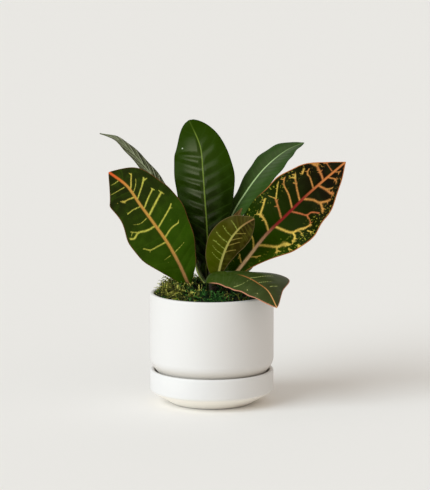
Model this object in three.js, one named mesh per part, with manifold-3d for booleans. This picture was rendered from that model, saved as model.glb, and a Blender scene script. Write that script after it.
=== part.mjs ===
// A potted croton: broad leathery leaves on one short stem, standing in moss and soil, in a
// straight white ceramic pot that nests in its own footed saucer. Millimetres, +Z up. The origin
// is the centre of the saucer's flat underside, -Y is the front and +X is to the right.
import * as THREE from "three";
import { mergeVertices } from "three/addons/utils/BufferGeometryUtils.js";
import Module from "manifold-3d";

const wasm = await Module();
wasm.setup();

// ---- driving dimensions -------------------------------------------------------------------

const POT_RADIUS = 63.5; // a 5 inch cylinder pot
const RIM_TOP = 114; // height of the pot's rim above the table
const WALL = 4.5; // thrown wall of pot and saucer
const INSIDE = POT_RADIUS - WALL; // inside radius of pot and saucer
const RIM_ROUND = WALL / 2; // both rims are rounded over the whole wall
const SEAT = 0.3; // clearance between pieces that rest on each other
const RING_SEGMENTS = 48; // sides of the turned pieces

const SAUCER_RIM = 34.6; // top of the saucer's wall
const SAUCER_FLOOR = 11.7; // its inside floor
const SAUCER_FLOOR_ROUND = 6; // corner between floor and wall
const FOOT_RADIUS = 41; // flat disc that the saucer stands on
const FOOT_ROUND = 1.2;
const CREASE_HEIGHT = 13.2; // where the saucer's taper meets its upright wall
const CREASE_ROUND = 1.6;

const POT_BASE = SAUCER_FLOOR + SEAT; // underside of the pot, resting in the saucer
const POT_FLOOR = 19; // inside floor of the pot
const POT_CORNER = 4; // corners between floor and neck, outside and inside
const NECK_RADIUS = 55; // narrower base of the pot, which nests inside the saucer
const NECK_INSIDE = NECK_RADIUS - WALL;
const NECK_TOP = 31;
const NECK_STEP = 3; // the inside turns outwards this much higher than the outside
const BAND_TOP = 43; // where the upright wall starts to turn in towards the neck
const BAND_ROUND = 4;
const BAND_INSET = 3; // how far the band is drawn in where it starts to slope
const DRAIN_RADIUS = 6;

const SOIL_TOP = 96;
const SOIL_CORNER = 4;
const STEM_FOOT = 60; // the stem is planted this deep
const STEM_TOP = 140;
const STEM_RADIUS = 4.4; // at the foot
const STEM_TIP_RADIUS = 3.1;
const STEM_EDGE = 1; // bevel at both ends
const STEM_SIDES = 16;

const MOSS_CROWN = 103; // height of the moss round the crown, where the stalks pass
const MOSS_EDGE = 111; // height at the wall of the pot
const MOSS_PILE = 11; // how much higher it is piled between crown and wall
const MOSS_PILE_AWAY = -30; // direction in degrees in which the pile is lowest
const MOSS_LUMPS = 1.1;
const MOSS_RISE = [9, 26]; // radii between which the moss climbs out of the crown
const MOSS_OUTER = INSIDE - 1.5 * SEAT;
const MOSS_SECTORS = 36;
const MOSS_RINGS = 8;

const BLADE_HALF_THICKNESS = 0.45;
const RIB_ROOT = 1.7; // radius of stalk and midrib where the leaf leaves the stem
const RIB_TIP = 0.6;
const LEAST_HALF_WIDTH = 0.5;
const STALK_UP_TO = 2; // up to this half width a leaf is a round stalk
const BLADE_FROM = 6; // from this half width its upper face is flat
const FULL_WAVE_FROM = 15; // from this half width the margin has its full waves
const WAVE_SHIFT = 0.3; // share of a wave by which the left margin runs ahead
const STALK_SPANS = 2; // spans between knots that are the stalk
const STALK_ROWS = 2; // cross-sections for each span between two knots
const BLADE_ROWS = 4;
const SECTION = [-1, -0.72, -0.42, -0.1, 0, 0.1, 0.42, 0.72, 1]; // columns across a leaf

// Each leaf is a row of knots from its root on the stem to its tip. A knot is
// [x, y, z, half width to the left, half width to the right], seen from the leaf's upper face with
// its tip up. face holds the way the upper face looks at the root, the middle and the tip, blunt
// rounds the tip (1 is pointed, 2 is round), fold lifts both halves in degrees, curl lowers their
// margins again, wave is the height of the margin's waves in mm and waves is their number.
const LEAVES = {
  leaf_left: {
    knots: [
      [0, 0, 106, 1.6, 1.6],
      [-14, -3, 110, 1.6, 1.6],
      [-23, -5, 121, 2.5, 2.5],
      [-33, -10, 144, 19.2, 20],
      [-45, -15, 167, 32.4, 30],
      [-59, -19, 188, 34.2, 36],
      [-73, -22, 208, 26.6, 33.5],
      [-86, -24, 227, 26.8, 23.6],
      [-104, -25, 241, 0.5, 0.5],
    ],
    face: [[0.25, -0.85, 0.35], [0.15, -0.9, 0.35], [0, -0.85, 0.45]],
    blunt: 1.15, fold: 8, curl: 0.05, wave: 1, waves: 7, color: 0x2c4418,
  },
  leaf_far_left: {
    knots: [
      [0, 0, 121, 1.4, 1.4],
      [-10, 3, 129.5, 1.4, 1.4],
      [-21, 9, 158, 2, 2],
      [-36, 16, 187, 12, 9],
      [-50, 24, 214, 11, 10.5],
      [-65, 34, 234, 10, 11],
      [-83, 44, 253, 9, 9.6],
      [-99, 51, 266.3, 6.2, 5.8],
      [-116, 58, 270.6, 0.5, 0.5],
    ],
    face: [[0.5, -0.45, 0.5], [0.45, -0.35, 0.8], [0.2, -0.2, 1]],
    blunt: 1.2, fold: 6, curl: 0.05, wave: 0.6, waves: 7, color: 0x3f5c46,
  },
  leaf_centre: {
    knots: [
      [0, 0, 113, 1.6, 1.6],
      [-4, 6, 121, 3, 1.6],
      [-6, 10, 136, 10.5, 5],
      [-4, 12, 149, 14.2, 10],
      [-5, 17, 179, 19.4, 20.5],
      [-7, 23, 206, 28, 29.2],
      [-9, 30, 233, 31, 31.8],
      [-12, 38, 260, 28.2, 23.4],
      [-23.5, 45, 286.2, 0.5, 0.5],
    ],
    face: [[0, -0.9, 0.3], [-0.18, -0.93, 0.3], [-0.22, -0.95, 0.25]],
    blunt: 1.9, fold: -2, curl: 0.08, wave: 0.8, waves: 8, color: 0x263d1f,
  },
  leaf_far_right: {
    knots: [
      [0, 0, 126, 1.4, 1.4],
      [6, 10, 140, 1.4, 1.4],
      [11, 18, 160, 2, 2],
      [21, 26, 189, 8, 14],
      [35, 32, 212, 11.5, 24.5],
      [51, 43, 232, 16.8, 27.3],
      [66, 54, 245, 19.2, 22],
      [81, 64, 254, 14.5, 11.8],
      [96, 73, 259, 0.5, 0.5],
    ],
    face: [[-0.4, -0.6, 0.5], [-0.45, -0.5, 0.6], [-0.45, -0.5, 0.7]],
    blunt: 1.2, fold: 10, curl: 0.05, wave: 0.6, waves: 7, color: 0x3a6136,
  },
  leaf_right: {
    knots: [
      [0, 0, 112, 1.8, 1.8],
      [10, 0, 115, 1.8, 1.8],
      [18, 0, 125, 3, 3],
      [36, -7, 149, 24, 11],
      [55, -15, 175, 33, 29],
      [75, -22, 196, 36, 39],
      [94, -29, 216, 34, 36],
      [113, -35, 234, 23.4, 25.6],
      [134.5, -40, 253.3, 0.5, 0.5],
    ],
    face: [[-0.15, -0.85, 0.35], [-0.2, -0.85, 0.4], [-0.25, -0.85, 0.45]],
    blunt: 1, fold: 10, curl: 0.08, wave: 1.5, waves: 7, color: 0x38501c,
  },
  leaf_young: {
    knots: [
      [0, 0, 121, 1.3, 1.3],
      [4, -6, 123, 1.3, 1.3],
      [7, -9, 129, 3, 2],
      [8, -14, 140, 13.5, 5],
      [12, -22, 156, 20.5, 11],
      [18, -29, 171, 22, 17],
      [27, -35, 184, 17, 21],
      [35, -39, 191, 9, 20],
      [43, -42, 196, 0.5, 0.5],
    ],
    face: [[-0.1, -0.9, 0.3], [-0.2, -0.85, 0.4], [-0.35, -0.8, 0.5]],
    blunt: 1.8, fold: 12, curl: 0.05, wave: 0.4, waves: 7, color: 0x555a20,
  },
  leaf_low_front: {
    knots: [
      [0, 0, 109, 1.5, 1.5],
      [-4, -11, 118, 1.5, 1.5],
      [-3, -19, 134, 4.5, 11],
      [10, -27, 138, 7, 16],
      [24, -33, 138, 11, 20],
      [36, -42, 136, 24, 20.5],
      [47, -53, 131.5, 40, 18.5],
      [57, -66, 125.4, 17.5, 16],
      [65, -80, 112, 0.5, 0.5],
    ],
    face: [[-0.3, -0.3, 0.9], [-0.18, -0.3, 0.94], [0.1, -0.3, 0.85]],
    blunt: 1.2, fold: 4, curl: 0.3, wave: 0.5, waves: 6, color: 0x3a4a2c,
  },
  leaf_back: {
    knots: [
      [0, 0, 110, 1.4, 1.4],
      [3, 8, 116, 1.4, 1.4],
      [7, 18, 127, 3, 3],
      [14, 32, 139, 15, 17],
      [20, 50, 146, 21, 21],
      [25, 67, 146, 23, 21],
      [29, 83, 140, 20, 19],
      [32, 97, 130, 13, 14.5],
      [34, 108, 116, 0.5, 0.5],
    ],
    face: [[0, -0.5, 0.8], [0, 0, 1], [0, 0.5, 0.8]],
    blunt: 1.8, fold: 4, curl: 0.25, wave: 0.8, waves: 7, color: 0x33491f,
  },
  shoot_tip: {
    knots: [
      [0, 0, 137, 1.5, 1.5],
      [4, -1, 149, 2.5, 2.5],
      [13, -3, 168, 5, 5],
      [23, -5, 187, 5.5, 5.5],
      [31, -7, 202, 0.5, 0.5],
    ],
    face: [[-0.3, -0.9, 0.3], [-0.3, -0.9, 0.3], [-0.3, -0.9, 0.3]],
    blunt: 1.2, fold: 35, curl: 0, wave: 0, waves: 0, color: 0x5a3a22,
  },
};

// ---- small helpers ------------------------------------------------------------------------

// Smooth value through evenly spaced knots (Catmull-Rom, end knots mirrored), t from 0 to 1.
function through(values, t) {
  const spans = values.length - 1;
  const at = Math.min(Math.max(t, 0), 1) * spans;
  const i = Math.min(Math.floor(at), spans - 1);
  const f = at - i;
  const b = values[i];
  const c = values[i + 1];
  const a = i > 0 ? values[i - 1] : 2 * b - c;
  const d = i + 2 <= spans ? values[i + 2] : 2 * c - b;
  const cubic = 3 * b - a - 3 * c + d;
  return 0.5 * (2 * b + (c - a) * f + (2 * a - 5 * b + 4 * c - d) * f * f + cubic * f * f * f);
}

// The same through rows of three numbers, as a vector.
function vectorThrough(rows, t) {
  return new THREE.Vector3(...[0, 1, 2].map((k) => through(rows.map((row) => row[k]), t)));
}

// A closed thin body from rows of points that each have a top and a bottom. Both faces are split
// into triangles along the same diagonals. A closed slab joins its last row to its first.
function slab(rows, closed = false) {
  const width = rows[0].length;
  const count = closed ? rows.length : rows.length - 1;
  const positions = [];
  const triangle = (a, b, c) => positions.push(...a.toArray(), ...b.toArray(), ...c.toArray());
  const quad = (a, b, c, d) => {
    triangle(a, b, c);
    triangle(a, c, d);
  };
  for (let i = 0; i < count; i++) {
    const here = rows[i];
    const next = rows[(i + 1) % rows.length];
    for (let j = 0; j < width - 1; j++) {
      quad(here[j].top, here[j + 1].top, next[j + 1].top, next[j].top);
      triangle(here[j].bottom, next[j + 1].bottom, here[j + 1].bottom);
      triangle(here[j].bottom, next[j].bottom, next[j + 1].bottom);
    }
    const last = width - 1;
    quad(here[0].top, next[0].top, next[0].bottom, here[0].bottom);
    quad(here[last].bottom, next[last].bottom, next[last].top, here[last].top);
  }
  if (!closed) {
    const end = rows[rows.length - 1];
    for (let j = 0; j < width - 1; j++) {
      quad(rows[0][j].bottom, rows[0][j + 1].bottom, rows[0][j + 1].top, rows[0][j].top);
      quad(end[j].top, end[j + 1].top, end[j + 1].bottom, end[j].bottom);
    }
  }
  const geometry = new THREE.BufferGeometry();
  geometry.setAttribute("position", new THREE.Float32BufferAttribute(positions, 3));
  return geometry;
}

// A body turned round the vertical axis from a path of [radius, height].
function turned(path, cornerSteps, segments = RING_SEGMENTS) {
  return new THREE.LatheGeometry(path.getPoints(cornerSteps), segments).rotateX(Math.PI / 2);
}

function solidOf(geometry) {
  const bare = new THREE.BufferGeometry();
  const source = geometry.index ? geometry.toNonIndexed() : geometry;
  bare.setAttribute("position", source.getAttribute("position"));
  const merged = mergeVertices(bare, 1e-3);
  return new wasm.Manifold(
    new wasm.Mesh({
      numProp: 3,
      vertProperties: merged.attributes.position.array,
      triVerts: new Uint32Array(merged.index.array),
    }),
  );
}

function geometryOf(solid) {
  const mesh = solid.getMesh();
  const geometry = new THREE.BufferGeometry();
  geometry.setAttribute("position", new THREE.Float32BufferAttribute(mesh.vertProperties, 3));
  geometry.setIndex(new THREE.BufferAttribute(mesh.triVerts, 1));
  return geometry;
}

function named(name, geometry, color, roughness) {
  geometry.computeVertexNormals();
  const material = new THREE.MeshStandardMaterial({ color, roughness, metalness: 0 });
  const mesh = new THREE.Mesh(geometry, material);
  mesh.name = name;
  return mesh;
}

// ---- holder -------------------------------------------------------------------------------

// Footed saucer: flat disc, straight taper, upright wall with a rounded rim, plain floor inside.
function saucerGeometry() {
  const footTurn = FOOT_ROUND / 2;
  const creaseTurn = CREASE_ROUND / 2;
  const path = new THREE.Path();
  path.moveTo(0, 0);
  path.lineTo(FOOT_RADIUS - FOOT_ROUND, 0);
  path.quadraticCurveTo(FOOT_RADIUS, 0, FOOT_RADIUS + FOOT_ROUND, footTurn);
  path.lineTo(POT_RADIUS - CREASE_ROUND, CREASE_HEIGHT - creaseTurn);
  path.quadraticCurveTo(POT_RADIUS, CREASE_HEIGHT, POT_RADIUS, CREASE_HEIGHT + CREASE_ROUND);
  path.lineTo(POT_RADIUS, SAUCER_RIM - RIM_ROUND);
  path.absarc(POT_RADIUS - RIM_ROUND, SAUCER_RIM - RIM_ROUND, RIM_ROUND, 0, Math.PI, false);
  path.lineTo(INSIDE, SAUCER_FLOOR + SAUCER_FLOOR_ROUND);
  path.quadraticCurveTo(INSIDE, SAUCER_FLOOR, INSIDE - SAUCER_FLOOR_ROUND, SAUCER_FLOOR);
  path.lineTo(0, SAUCER_FLOOR);
  return turned(path, 2);
}

// Straight cylinder pot: neck inside the saucer, band that turns in, wall, rounded rim, and a
// drainage hole through the floor.
function potGeometry() {
  const path = new THREE.Path();
  path.moveTo(DRAIN_RADIUS, POT_BASE);
  path.lineTo(NECK_RADIUS - POT_CORNER, POT_BASE);
  path.quadraticCurveTo(NECK_RADIUS, POT_BASE, NECK_RADIUS, POT_BASE + POT_CORNER);
  path.lineTo(NECK_RADIUS, NECK_TOP);
  path.lineTo(POT_RADIUS - BAND_INSET, BAND_TOP - BAND_ROUND);
  path.quadraticCurveTo(POT_RADIUS, BAND_TOP, POT_RADIUS, BAND_TOP + BAND_ROUND);
  path.lineTo(POT_RADIUS, RIM_TOP - RIM_ROUND);
  path.absarc(POT_RADIUS - RIM_ROUND, RIM_TOP - RIM_ROUND, RIM_ROUND, 0, Math.PI, false);
  path.lineTo(INSIDE, BAND_TOP + BAND_ROUND);
  path.lineTo(NECK_INSIDE, NECK_TOP + NECK_STEP);
  path.lineTo(NECK_INSIDE, POT_FLOOR + POT_CORNER);
  path.quadraticCurveTo(NECK_INSIDE, POT_FLOOR, NECK_INSIDE - POT_CORNER, POT_FLOOR);
  path.lineTo(DRAIN_RADIUS, POT_FLOOR);
  path.lineTo(DRAIN_RADIUS, POT_BASE);
  return turned(path, 2);
}

// ---- filling ------------------------------------------------------------------------------

// Radius of the stem at a height; it tapers evenly from foot to tip.
function stemRadius(z) {
  const share = (z - STEM_FOOT) / (STEM_TOP - STEM_FOOT);
  return THREE.MathUtils.lerp(STEM_RADIUS, STEM_TIP_RADIUS, share);
}

// Soil: follows the inside of the pot and has a plain blind hole for the stem.
function soilGeometry() {
  const wall = INSIDE - SEAT;
  const neck = NECK_INSIDE - SEAT;
  const hole = STEM_RADIUS + SEAT;
  const path = new THREE.Path();
  path.moveTo(0, POT_FLOOR + SEAT);
  path.lineTo(neck - SOIL_CORNER, POT_FLOOR + SEAT);
  path.lineTo(neck, POT_FLOOR + SOIL_CORNER);
  path.lineTo(neck, NECK_TOP + NECK_STEP + SEAT);
  path.lineTo(wall, BAND_TOP + BAND_ROUND + SEAT);
  path.lineTo(wall, SOIL_TOP);
  path.lineTo(hole, SOIL_TOP);
  path.lineTo(hole, STEM_FOOT - SEAT);
  path.lineTo(0, STEM_FOOT - SEAT);
  return turned(path, 1);
}

// Lumps in the moss about 8 mm across, from two crossing waves over the bed, between -1.7 and 1.7.
function mossLumps(x, y) {
  return Math.sin(0.42 * x + 1.3) * Math.cos(0.37 * y) + 0.7 * Math.sin(0.61 * (x - y));
}

// Height of the moss: level with the rim at the wall, piled higher at the back and left, low round
// the crown, with lumps all over.
function mossHeight(radius, angle) {
  const away = Math.cos(angle - THREE.MathUtils.degToRad(MOSS_PILE_AWAY));
  const ridge = Math.sin(Math.PI * Math.pow(radius / MOSS_OUTER, 1.6));
  const pile = MOSS_PILE * (0.6 - 0.4 * away) * ridge;
  const lumps = MOSS_LUMPS * mossLumps(radius * Math.cos(angle), radius * Math.sin(angle));
  const climb = THREE.MathUtils.smoothstep(radius, ...MOSS_RISE);
  return MOSS_CROWN + (MOSS_EDGE - MOSS_CROWN + pile + lumps) * climb;
}

// Moss: a ring-shaped cushion between the stem and the wall, flat on the soil.
function mossGeometry() {
  const hole = stemRadius(SOIL_TOP) + SEAT;
  const rows = [];
  for (let i = 0; i < MOSS_SECTORS; i++) {
    const angle = (2 * Math.PI * i) / MOSS_SECTORS;
    const row = [];
    for (let j = 0; j <= MOSS_RINGS; j++) {
      const radius = THREE.MathUtils.lerp(hole, MOSS_OUTER, j / MOSS_RINGS);
      const x = radius * Math.cos(angle);
      const y = radius * Math.sin(angle);
      row.push({
        top: new THREE.Vector3(x, y, mossHeight(radius, angle)),
        bottom: new THREE.Vector3(x, y, SOIL_TOP + SEAT),
      });
    }
    rows.push(row);
  }
  return slab(rows, true);
}

// ---- plant --------------------------------------------------------------------------------

// Tapering stem; grown by `more` it is the space that the leaves' roots keep clear of.
function stemGeometry(more = 0) {
  const foot = STEM_FOOT - more;
  const top = STEM_TOP + more;
  const path = new THREE.Path();
  path.moveTo(0, foot);
  path.lineTo(STEM_RADIUS + more - STEM_EDGE, foot);
  path.lineTo(STEM_RADIUS + more, foot + STEM_EDGE);
  path.lineTo(STEM_TIP_RADIUS + more, top - STEM_EDGE);
  path.lineTo(STEM_TIP_RADIUS + more - STEM_EDGE, top);
  path.lineTo(0, top);
  return turned(path, 1, STEM_SIDES);
}

// Half width of a leaf at t on one side; raising to `blunt` and back rounds the tip.
function halfWidth(leaf, side, t) {
  const raised = through(leaf.knots.map((knot) => Math.pow(knot[3 + side], leaf.blunt)), t);
  return Math.max(LEAST_HALF_WIDTH, Math.pow(Math.max(raised, 0), 1 / leaf.blunt));
}

// One cross-section of a leaf at t along its knots, as slab points across its width.
function leafSection(leaf, t) {
  const spine = vectorThrough(leaf.knots, t);
  const step = 1e-3;
  const along = vectorThrough(leaf.knots, Math.min(t + step, 1))
    .sub(vectorThrough(leaf.knots, Math.max(t - step, 0)))
    .normalize();
  const up = vectorThrough(leaf.face, t);
  up.addScaledVector(along, -up.dot(along)).normalize();
  const across = new THREE.Vector3().crossVectors(along, up);
  const fold = THREE.MathUtils.degToRad(leaf.fold);
  const rib = THREE.MathUtils.lerp(RIB_ROOT, RIB_TIP, t);
  return SECTION.map((v) => {
    const side = v < 0 ? 0 : 1;
    const width = halfWidth(leaf, side, t);
    const share = Math.abs(v);
    const reach = width * share;
    const phase = leaf.waves * t + (side === 0 ? WAVE_SHIFT : 0);
    const wave = leaf.wave * Math.min(1, width / FULL_WAVE_FROM);
    const ripple = wave * Math.sin(2 * Math.PI * phase) * share * share;
    const lift = reach * Math.sin(fold) - leaf.curl * reach * share + ripple;
    const middle = spine
      .clone()
      .addScaledVector(across, Math.sign(v) * reach * Math.cos(fold))
      .addScaledVector(up, lift);
    const blade = THREE.MathUtils.clamp((width - STALK_UP_TO) / (BLADE_FROM - STALK_UP_TO), 0, 1);
    const round = Math.sqrt(Math.max(0, rib * rib - reach * reach));
    const below = Math.max(BLADE_HALF_THICKNESS, round);
    const above = THREE.MathUtils.lerp(below, BLADE_HALF_THICKNESS, blade);
    return {
      top: middle.clone().addScaledVector(up, above),
      bottom: middle.clone().addScaledVector(up, -below),
    };
  });
}

// A whole leaf, stalk and blade in one body, cut clear of the stem that it grows from.
function leafGeometry(leaf, stemSpace) {
  const spans = leaf.knots.length - 1;
  const rows = [];
  for (let span = 0; span < spans; span++) {
    const steps = span < STALK_SPANS ? STALK_ROWS : BLADE_ROWS;
    for (let k = 0; k < steps; k++) rows.push(leafSection(leaf, (span + k / steps) / spans));
  }
  rows.push(leafSection(leaf, 1));
  return geometryOf(solidOf(slab(rows)).subtract(stemSpace));
}

// ---- assembly -----------------------------------------------------------------------------

const CERAMIC = 0xefedea;
const pottedCroton = new THREE.Group();

const holder = new THREE.Group();
holder.add(named("saucer", saucerGeometry(), CERAMIC, 0.6));
holder.add(named("pot", potGeometry(), CERAMIC, 0.6));

const filling = new THREE.Group();
filling.add(named("soil", soilGeometry(), 0x2b2119, 1));
filling.add(named("moss", mossGeometry(), 0x4b5f1e, 1));

const plant = new THREE.Group();
plant.add(named("stem", stemGeometry(), 0x6d6a45, 0.8));
const stemSpace = solidOf(stemGeometry(SEAT));
for (const [name, leaf] of Object.entries(LEAVES)) {
  plant.add(named(name, leafGeometry(leaf, stemSpace), leaf.color, 0.4));
}

pottedCroton.add(holder, filling, plant);

export default pottedCroton;
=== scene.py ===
"""Looks of the potted croton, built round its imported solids. Metres, +Z up, -Y is the front.

Lengths in the dataclasses below are millimetres, as a potter and a gardener would state them; MM
turns them to metres where a mesh is made.
"""
import logging
import math
import random
from dataclasses import dataclass, field
from enum import Enum
from typing import Any, Callable, ClassVar

import bmesh
import bpy
import numpy as np
from mathutils import Matrix, Vector


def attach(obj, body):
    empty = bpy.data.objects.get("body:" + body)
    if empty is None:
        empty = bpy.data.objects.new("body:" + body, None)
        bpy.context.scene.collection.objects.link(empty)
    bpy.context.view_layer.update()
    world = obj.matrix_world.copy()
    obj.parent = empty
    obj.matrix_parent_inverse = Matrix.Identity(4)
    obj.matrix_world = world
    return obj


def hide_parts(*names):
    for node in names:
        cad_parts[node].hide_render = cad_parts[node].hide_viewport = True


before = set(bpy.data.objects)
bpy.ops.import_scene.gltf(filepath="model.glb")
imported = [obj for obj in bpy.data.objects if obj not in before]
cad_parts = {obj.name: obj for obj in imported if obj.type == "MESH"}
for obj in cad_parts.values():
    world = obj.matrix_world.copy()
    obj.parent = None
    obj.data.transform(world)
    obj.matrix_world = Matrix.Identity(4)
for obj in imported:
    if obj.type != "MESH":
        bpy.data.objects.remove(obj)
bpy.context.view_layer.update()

MM = 0.001
SHEET_UNIT = 100.0  # mm to one unit of a leaf's flat map
BODY = "root"
LOG = logging.getLogger("croton")

# ---- colours and nodes ------------------------------------------------------------------------


def linear(code: str) -> tuple[float, float, float, float]:
    """Turns an sRGB hex colour into linear RGBA.

    Args:
        code: six hex digits.

    Returns:
        Linear red, green, blue and an alpha of 1.
    """
    parts = [int(code[i:i + 2], 16) / 255 for i in (0, 2, 4)]
    curve = [c / 12.92 if c <= 0.04045 else ((c + 0.055) / 1.055) ** 2.4 for c in parts]
    return (*curve, 1.0)


def add(tree: bpy.types.NodeTree, kind: str, inputs: dict[Any, Any], **settings: Any) -> bpy.types.Node:
    """Adds one node with its settings, and fills or links its inputs.

    Args:
        tree: the material's node tree.
        kind: node type, such as ShaderNodeMix.
        inputs: socket name or index to a value or to the socket that feeds it.
        **settings: the node's own properties.

    Returns:
        The new node.
    """
    made = tree.nodes.new(kind)
    for key, value in settings.items():
        setattr(made, key, value)
    for key, value in inputs.items():
        if isinstance(value, bpy.types.NodeSocket):
            tree.links.new(value, made.inputs[key])
        else:
            made.inputs[key].default_value = value
    return made


class Blend:
    """Colour and mask arithmetic in one material's node tree."""

    def __init__(self, tree: bpy.types.NodeTree) -> None:
        """Keeps the tree that the nodes go into."""
        self.tree = tree

    def attribute(self, name: str) -> bpy.types.NodeSocket:
        """Returns a mesh attribute's value."""
        return add(self.tree, "ShaderNodeAttribute", {}, attribute_name=name).outputs["Fac"]

    def ramp(self, value: Any, low: float, high: float, top: float = 1.0) -> bpy.types.NodeSocket:
        """Returns 0 at low, `top` at high and a smooth step between."""
        inputs = {"Value": value, "From Min": low, "From Max": high, "To Max": top}
        node = add(self.tree, "ShaderNodeMapRange", inputs, interpolation_type="SMOOTHSTEP")
        return node.outputs["Result"]

    def mix(self, share: Any, first: Any, second: Any) -> bpy.types.NodeSocket:
        """Returns the colour between first and second at a share."""
        return add(self.tree, "ShaderNodeMix", {0: share, 6: first, 7: second}, data_type="RGBA").outputs[2]

    def maths(self, operation: str, first: Any, second: Any = 0.0) -> bpy.types.NodeSocket:
        """Returns first and second put through one operation."""
        return add(self.tree, "ShaderNodeMath", {0: first, 1: second}, operation=operation).outputs[0]

    def noise(self, vector: Any, scale: float, detail: float = 2.0) -> bpy.types.NodeSocket:
        """Returns cloudy noise between 0 and 1."""
        inputs = {"Vector": vector, "Scale": scale, "Detail": detail}
        return add(self.tree, "ShaderNodeTexNoise", inputs).outputs[0]

    def emboss(self, shader: bpy.types.Node, height: Any, strength: float, depth: float) -> None:
        """Lets a height pattern shape the way a shader's surface catches light.

        Args:
            shader: the Principled shader.
            height: the pattern.
            strength: share of the full relief.
            depth: depth of the full relief, mm.
        """
        relief = {"Height": height, "Strength": strength, "Distance": depth * MM}
        bump = add(self.tree, "ShaderNodeBump", relief)
        self.tree.links.new(bump.outputs[0], shader.inputs["Normal"])


def blank_material(name: str) -> tuple[bpy.types.Material, bpy.types.NodeTree, bpy.types.Node]:
    """Makes a material with one Principled shader.

    Args:
        name: the material's name.

    Returns:
        The material, its tree and the shader node.
    """
    material = bpy.data.materials.new(name)
    material.use_nodes = True
    tree = material.node_tree
    tree.nodes.clear()
    shader = add(tree, "ShaderNodeBsdfPrincipled", {})
    add(tree, "ShaderNodeOutputMaterial", {"Surface": shader.outputs[0]})
    return material, tree, shader


# ---- finishes ---------------------------------------------------------------------------------


@dataclass(frozen=True)
class GlazedStoneware:
    """Stoneware under a matt white glaze, thrown and fired: softly reflecting, with a fine grain.

    cloud and grain are the sizes of its faint clouds and of its grain, mm.
    """

    name: str
    body: str
    foot: str
    painted_light_from: float
    painted_light_to: float
    roughness: float = 0.52
    ior: float = 1.5
    cloud: float = 40.0
    cloud_share: float = 0.10
    grain: float = 0.9
    grain_depth: float = 0.1
    grain_strength: float = 0.08

    def material(self) -> bpy.types.Material:
        """Makes the glaze, which turns to the foot colour downwards through a band between two heights, mm.
        The foot colour is painted light: lighter than the glaze on the saucer's downward taper as
        painted bounce light from the floor, darker on the pot's lower band as painted shade.

        The grain of the fired glaze is drawn coarse enough to show.

        Returns:
            The material.
        """
        material, tree, shader = blank_material(self.name)
        blend = Blend(tree)
        place = add(tree, "ShaderNodeTexCoord", {}).outputs["Object"]
        height = add(tree, "ShaderNodeSeparateXYZ", {0: place}).outputs["Z"]
        # Below this band of heights the glaze turns to the foot colour, which is painted light.
        upper = blend.ramp(height, self.painted_light_from * MM, self.painted_light_to * MM)
        cloud = blend.ramp(blend.noise(place, 1 / (self.cloud * MM)), 0.3, 0.7, self.cloud_share)
        white = blend.mix(cloud, linear(self.body), linear(self.foot))
        tree.links.new(blend.mix(upper, linear(self.foot), white), shader.inputs["Base Color"])
        shader.inputs["Roughness"].default_value = self.roughness
        shader.inputs["IOR"].default_value = self.ior
        blend.emboss(shader, blend.noise(place, 1 / (self.grain * MM)), self.grain_strength,
                     self.grain_depth)
        return material


@dataclass(frozen=True)
class Fibre:
    """Dry or living plant fibre, such as moss, bark or soil crumbs: rough, patchy in tone.

    patch is the size of the tone patches, mm, and the dark gaps among strands are painted shade, in patches
    of a given size of their own, mm.
    """

    name: str
    dark: str
    light: str
    patch: float
    roughness: float = 0.85
    tip: str | None = None
    gap_shade_size: float = 5.882
    specular: float = 0.25

    def material(self) -> bpy.types.Material:
        """Makes the fibre, which turns to its tip colour, if it has one, along each strand; a fibre with a
        tip colour also gets dark patches of painted shade for the gaps among its strands.

        Returns:
            The material.
        """
        material, tree, shader = blank_material(self.name)
        blend = Blend(tree)
        place = add(tree, "ShaderNodeTexCoord", {}).outputs["Object"]
        patches = blend.ramp(blend.noise(place, 1 / (self.patch * MM), 3.0), 0.35, 0.65)
        if self.tip:
            patches = blend.maths("MULTIPLY", blend.maths("ADD", patches, blend.attribute("shade")), 0.5)
        colour = blend.mix(patches, linear(self.dark), linear(self.light))
        if self.tip:
            bright = blend.ramp(blend.attribute("strand"), 0.4, 1.0, 0.85)
            colour = blend.mix(blend.maths("MULTIPLY", bright, patches), colour, linear(self.tip))
            # Painted shade: dark patches over the strands stand for the gaps among them.
            painted_gap_shade = blend.ramp(blend.noise(place, 1 / (self.gap_shade_size * MM), 1.0), 0.56, 0.42, 0.8)
            colour = blend.mix(painted_gap_shade, colour, linear(self.dark))
        tree.links.new(colour, shader.inputs["Base Color"])
        shader.inputs["Roughness"].default_value = self.roughness
        shader.inputs["Specular IOR Level"].default_value = self.specular
        return material


@dataclass(frozen=True)
class LeafPlace:
    """Where on a leaf a point lies, as sockets of one material.

    sheet is its place on the flat leaf, along and out are the shares of the way to the tip and to
    the margin, side is negative left of the midrib, and wobble is fine noise round 0.
    """

    sheet: bpy.types.NodeSocket
    along: bpy.types.NodeSocket
    out: bpy.types.NodeSocket
    side: bpy.types.NodeSocket
    wobble: bpy.types.NodeSocket

    MIDDLE: ClassVar[float] = 0.02  # half of the soft step between the two halves

    @classmethod
    def read(cls, blend: Blend, wobble_scale: float) -> "LeafPlace":
        """Reads the mesh's attributes.

        Args:
            blend: the material's arithmetic.
            wobble_scale: scale of the wobble on the flat leaf.

        Returns:
            The sockets.
        """
        sheet = add(blend.tree, "ShaderNodeUVMap", {}, uv_map="sheet").outputs[0]
        along, out, side = (blend.attribute(name) for name in ("along", "out", "side"))
        wobble = blend.maths("SUBTRACT", blend.noise(sheet, wobble_scale, 4.0), 0.5)
        return cls(sheet, along, out, side, wobble)

    def right(self, blend: Blend, share: float = 1.0) -> bpy.types.NodeSocket:
        """The share right of the midrib and 0 left of it."""
        return blend.ramp(self.side, -self.MIDDLE, self.MIDDLE, share)

    def left(self, blend: Blend, share: float = 1.0) -> bpy.types.NodeSocket:
        """The share left of the midrib and 0 right of it."""
        return blend.ramp(self.side, self.MIDDLE, -self.MIDDLE, share)

    def uneven(self, blend: Blend, amount: float) -> bpy.types.NodeSocket:
        """The wobble at an amount, to be added to an edge."""
        return blend.maths("MULTIPLY", self.wobble, amount)


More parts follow.
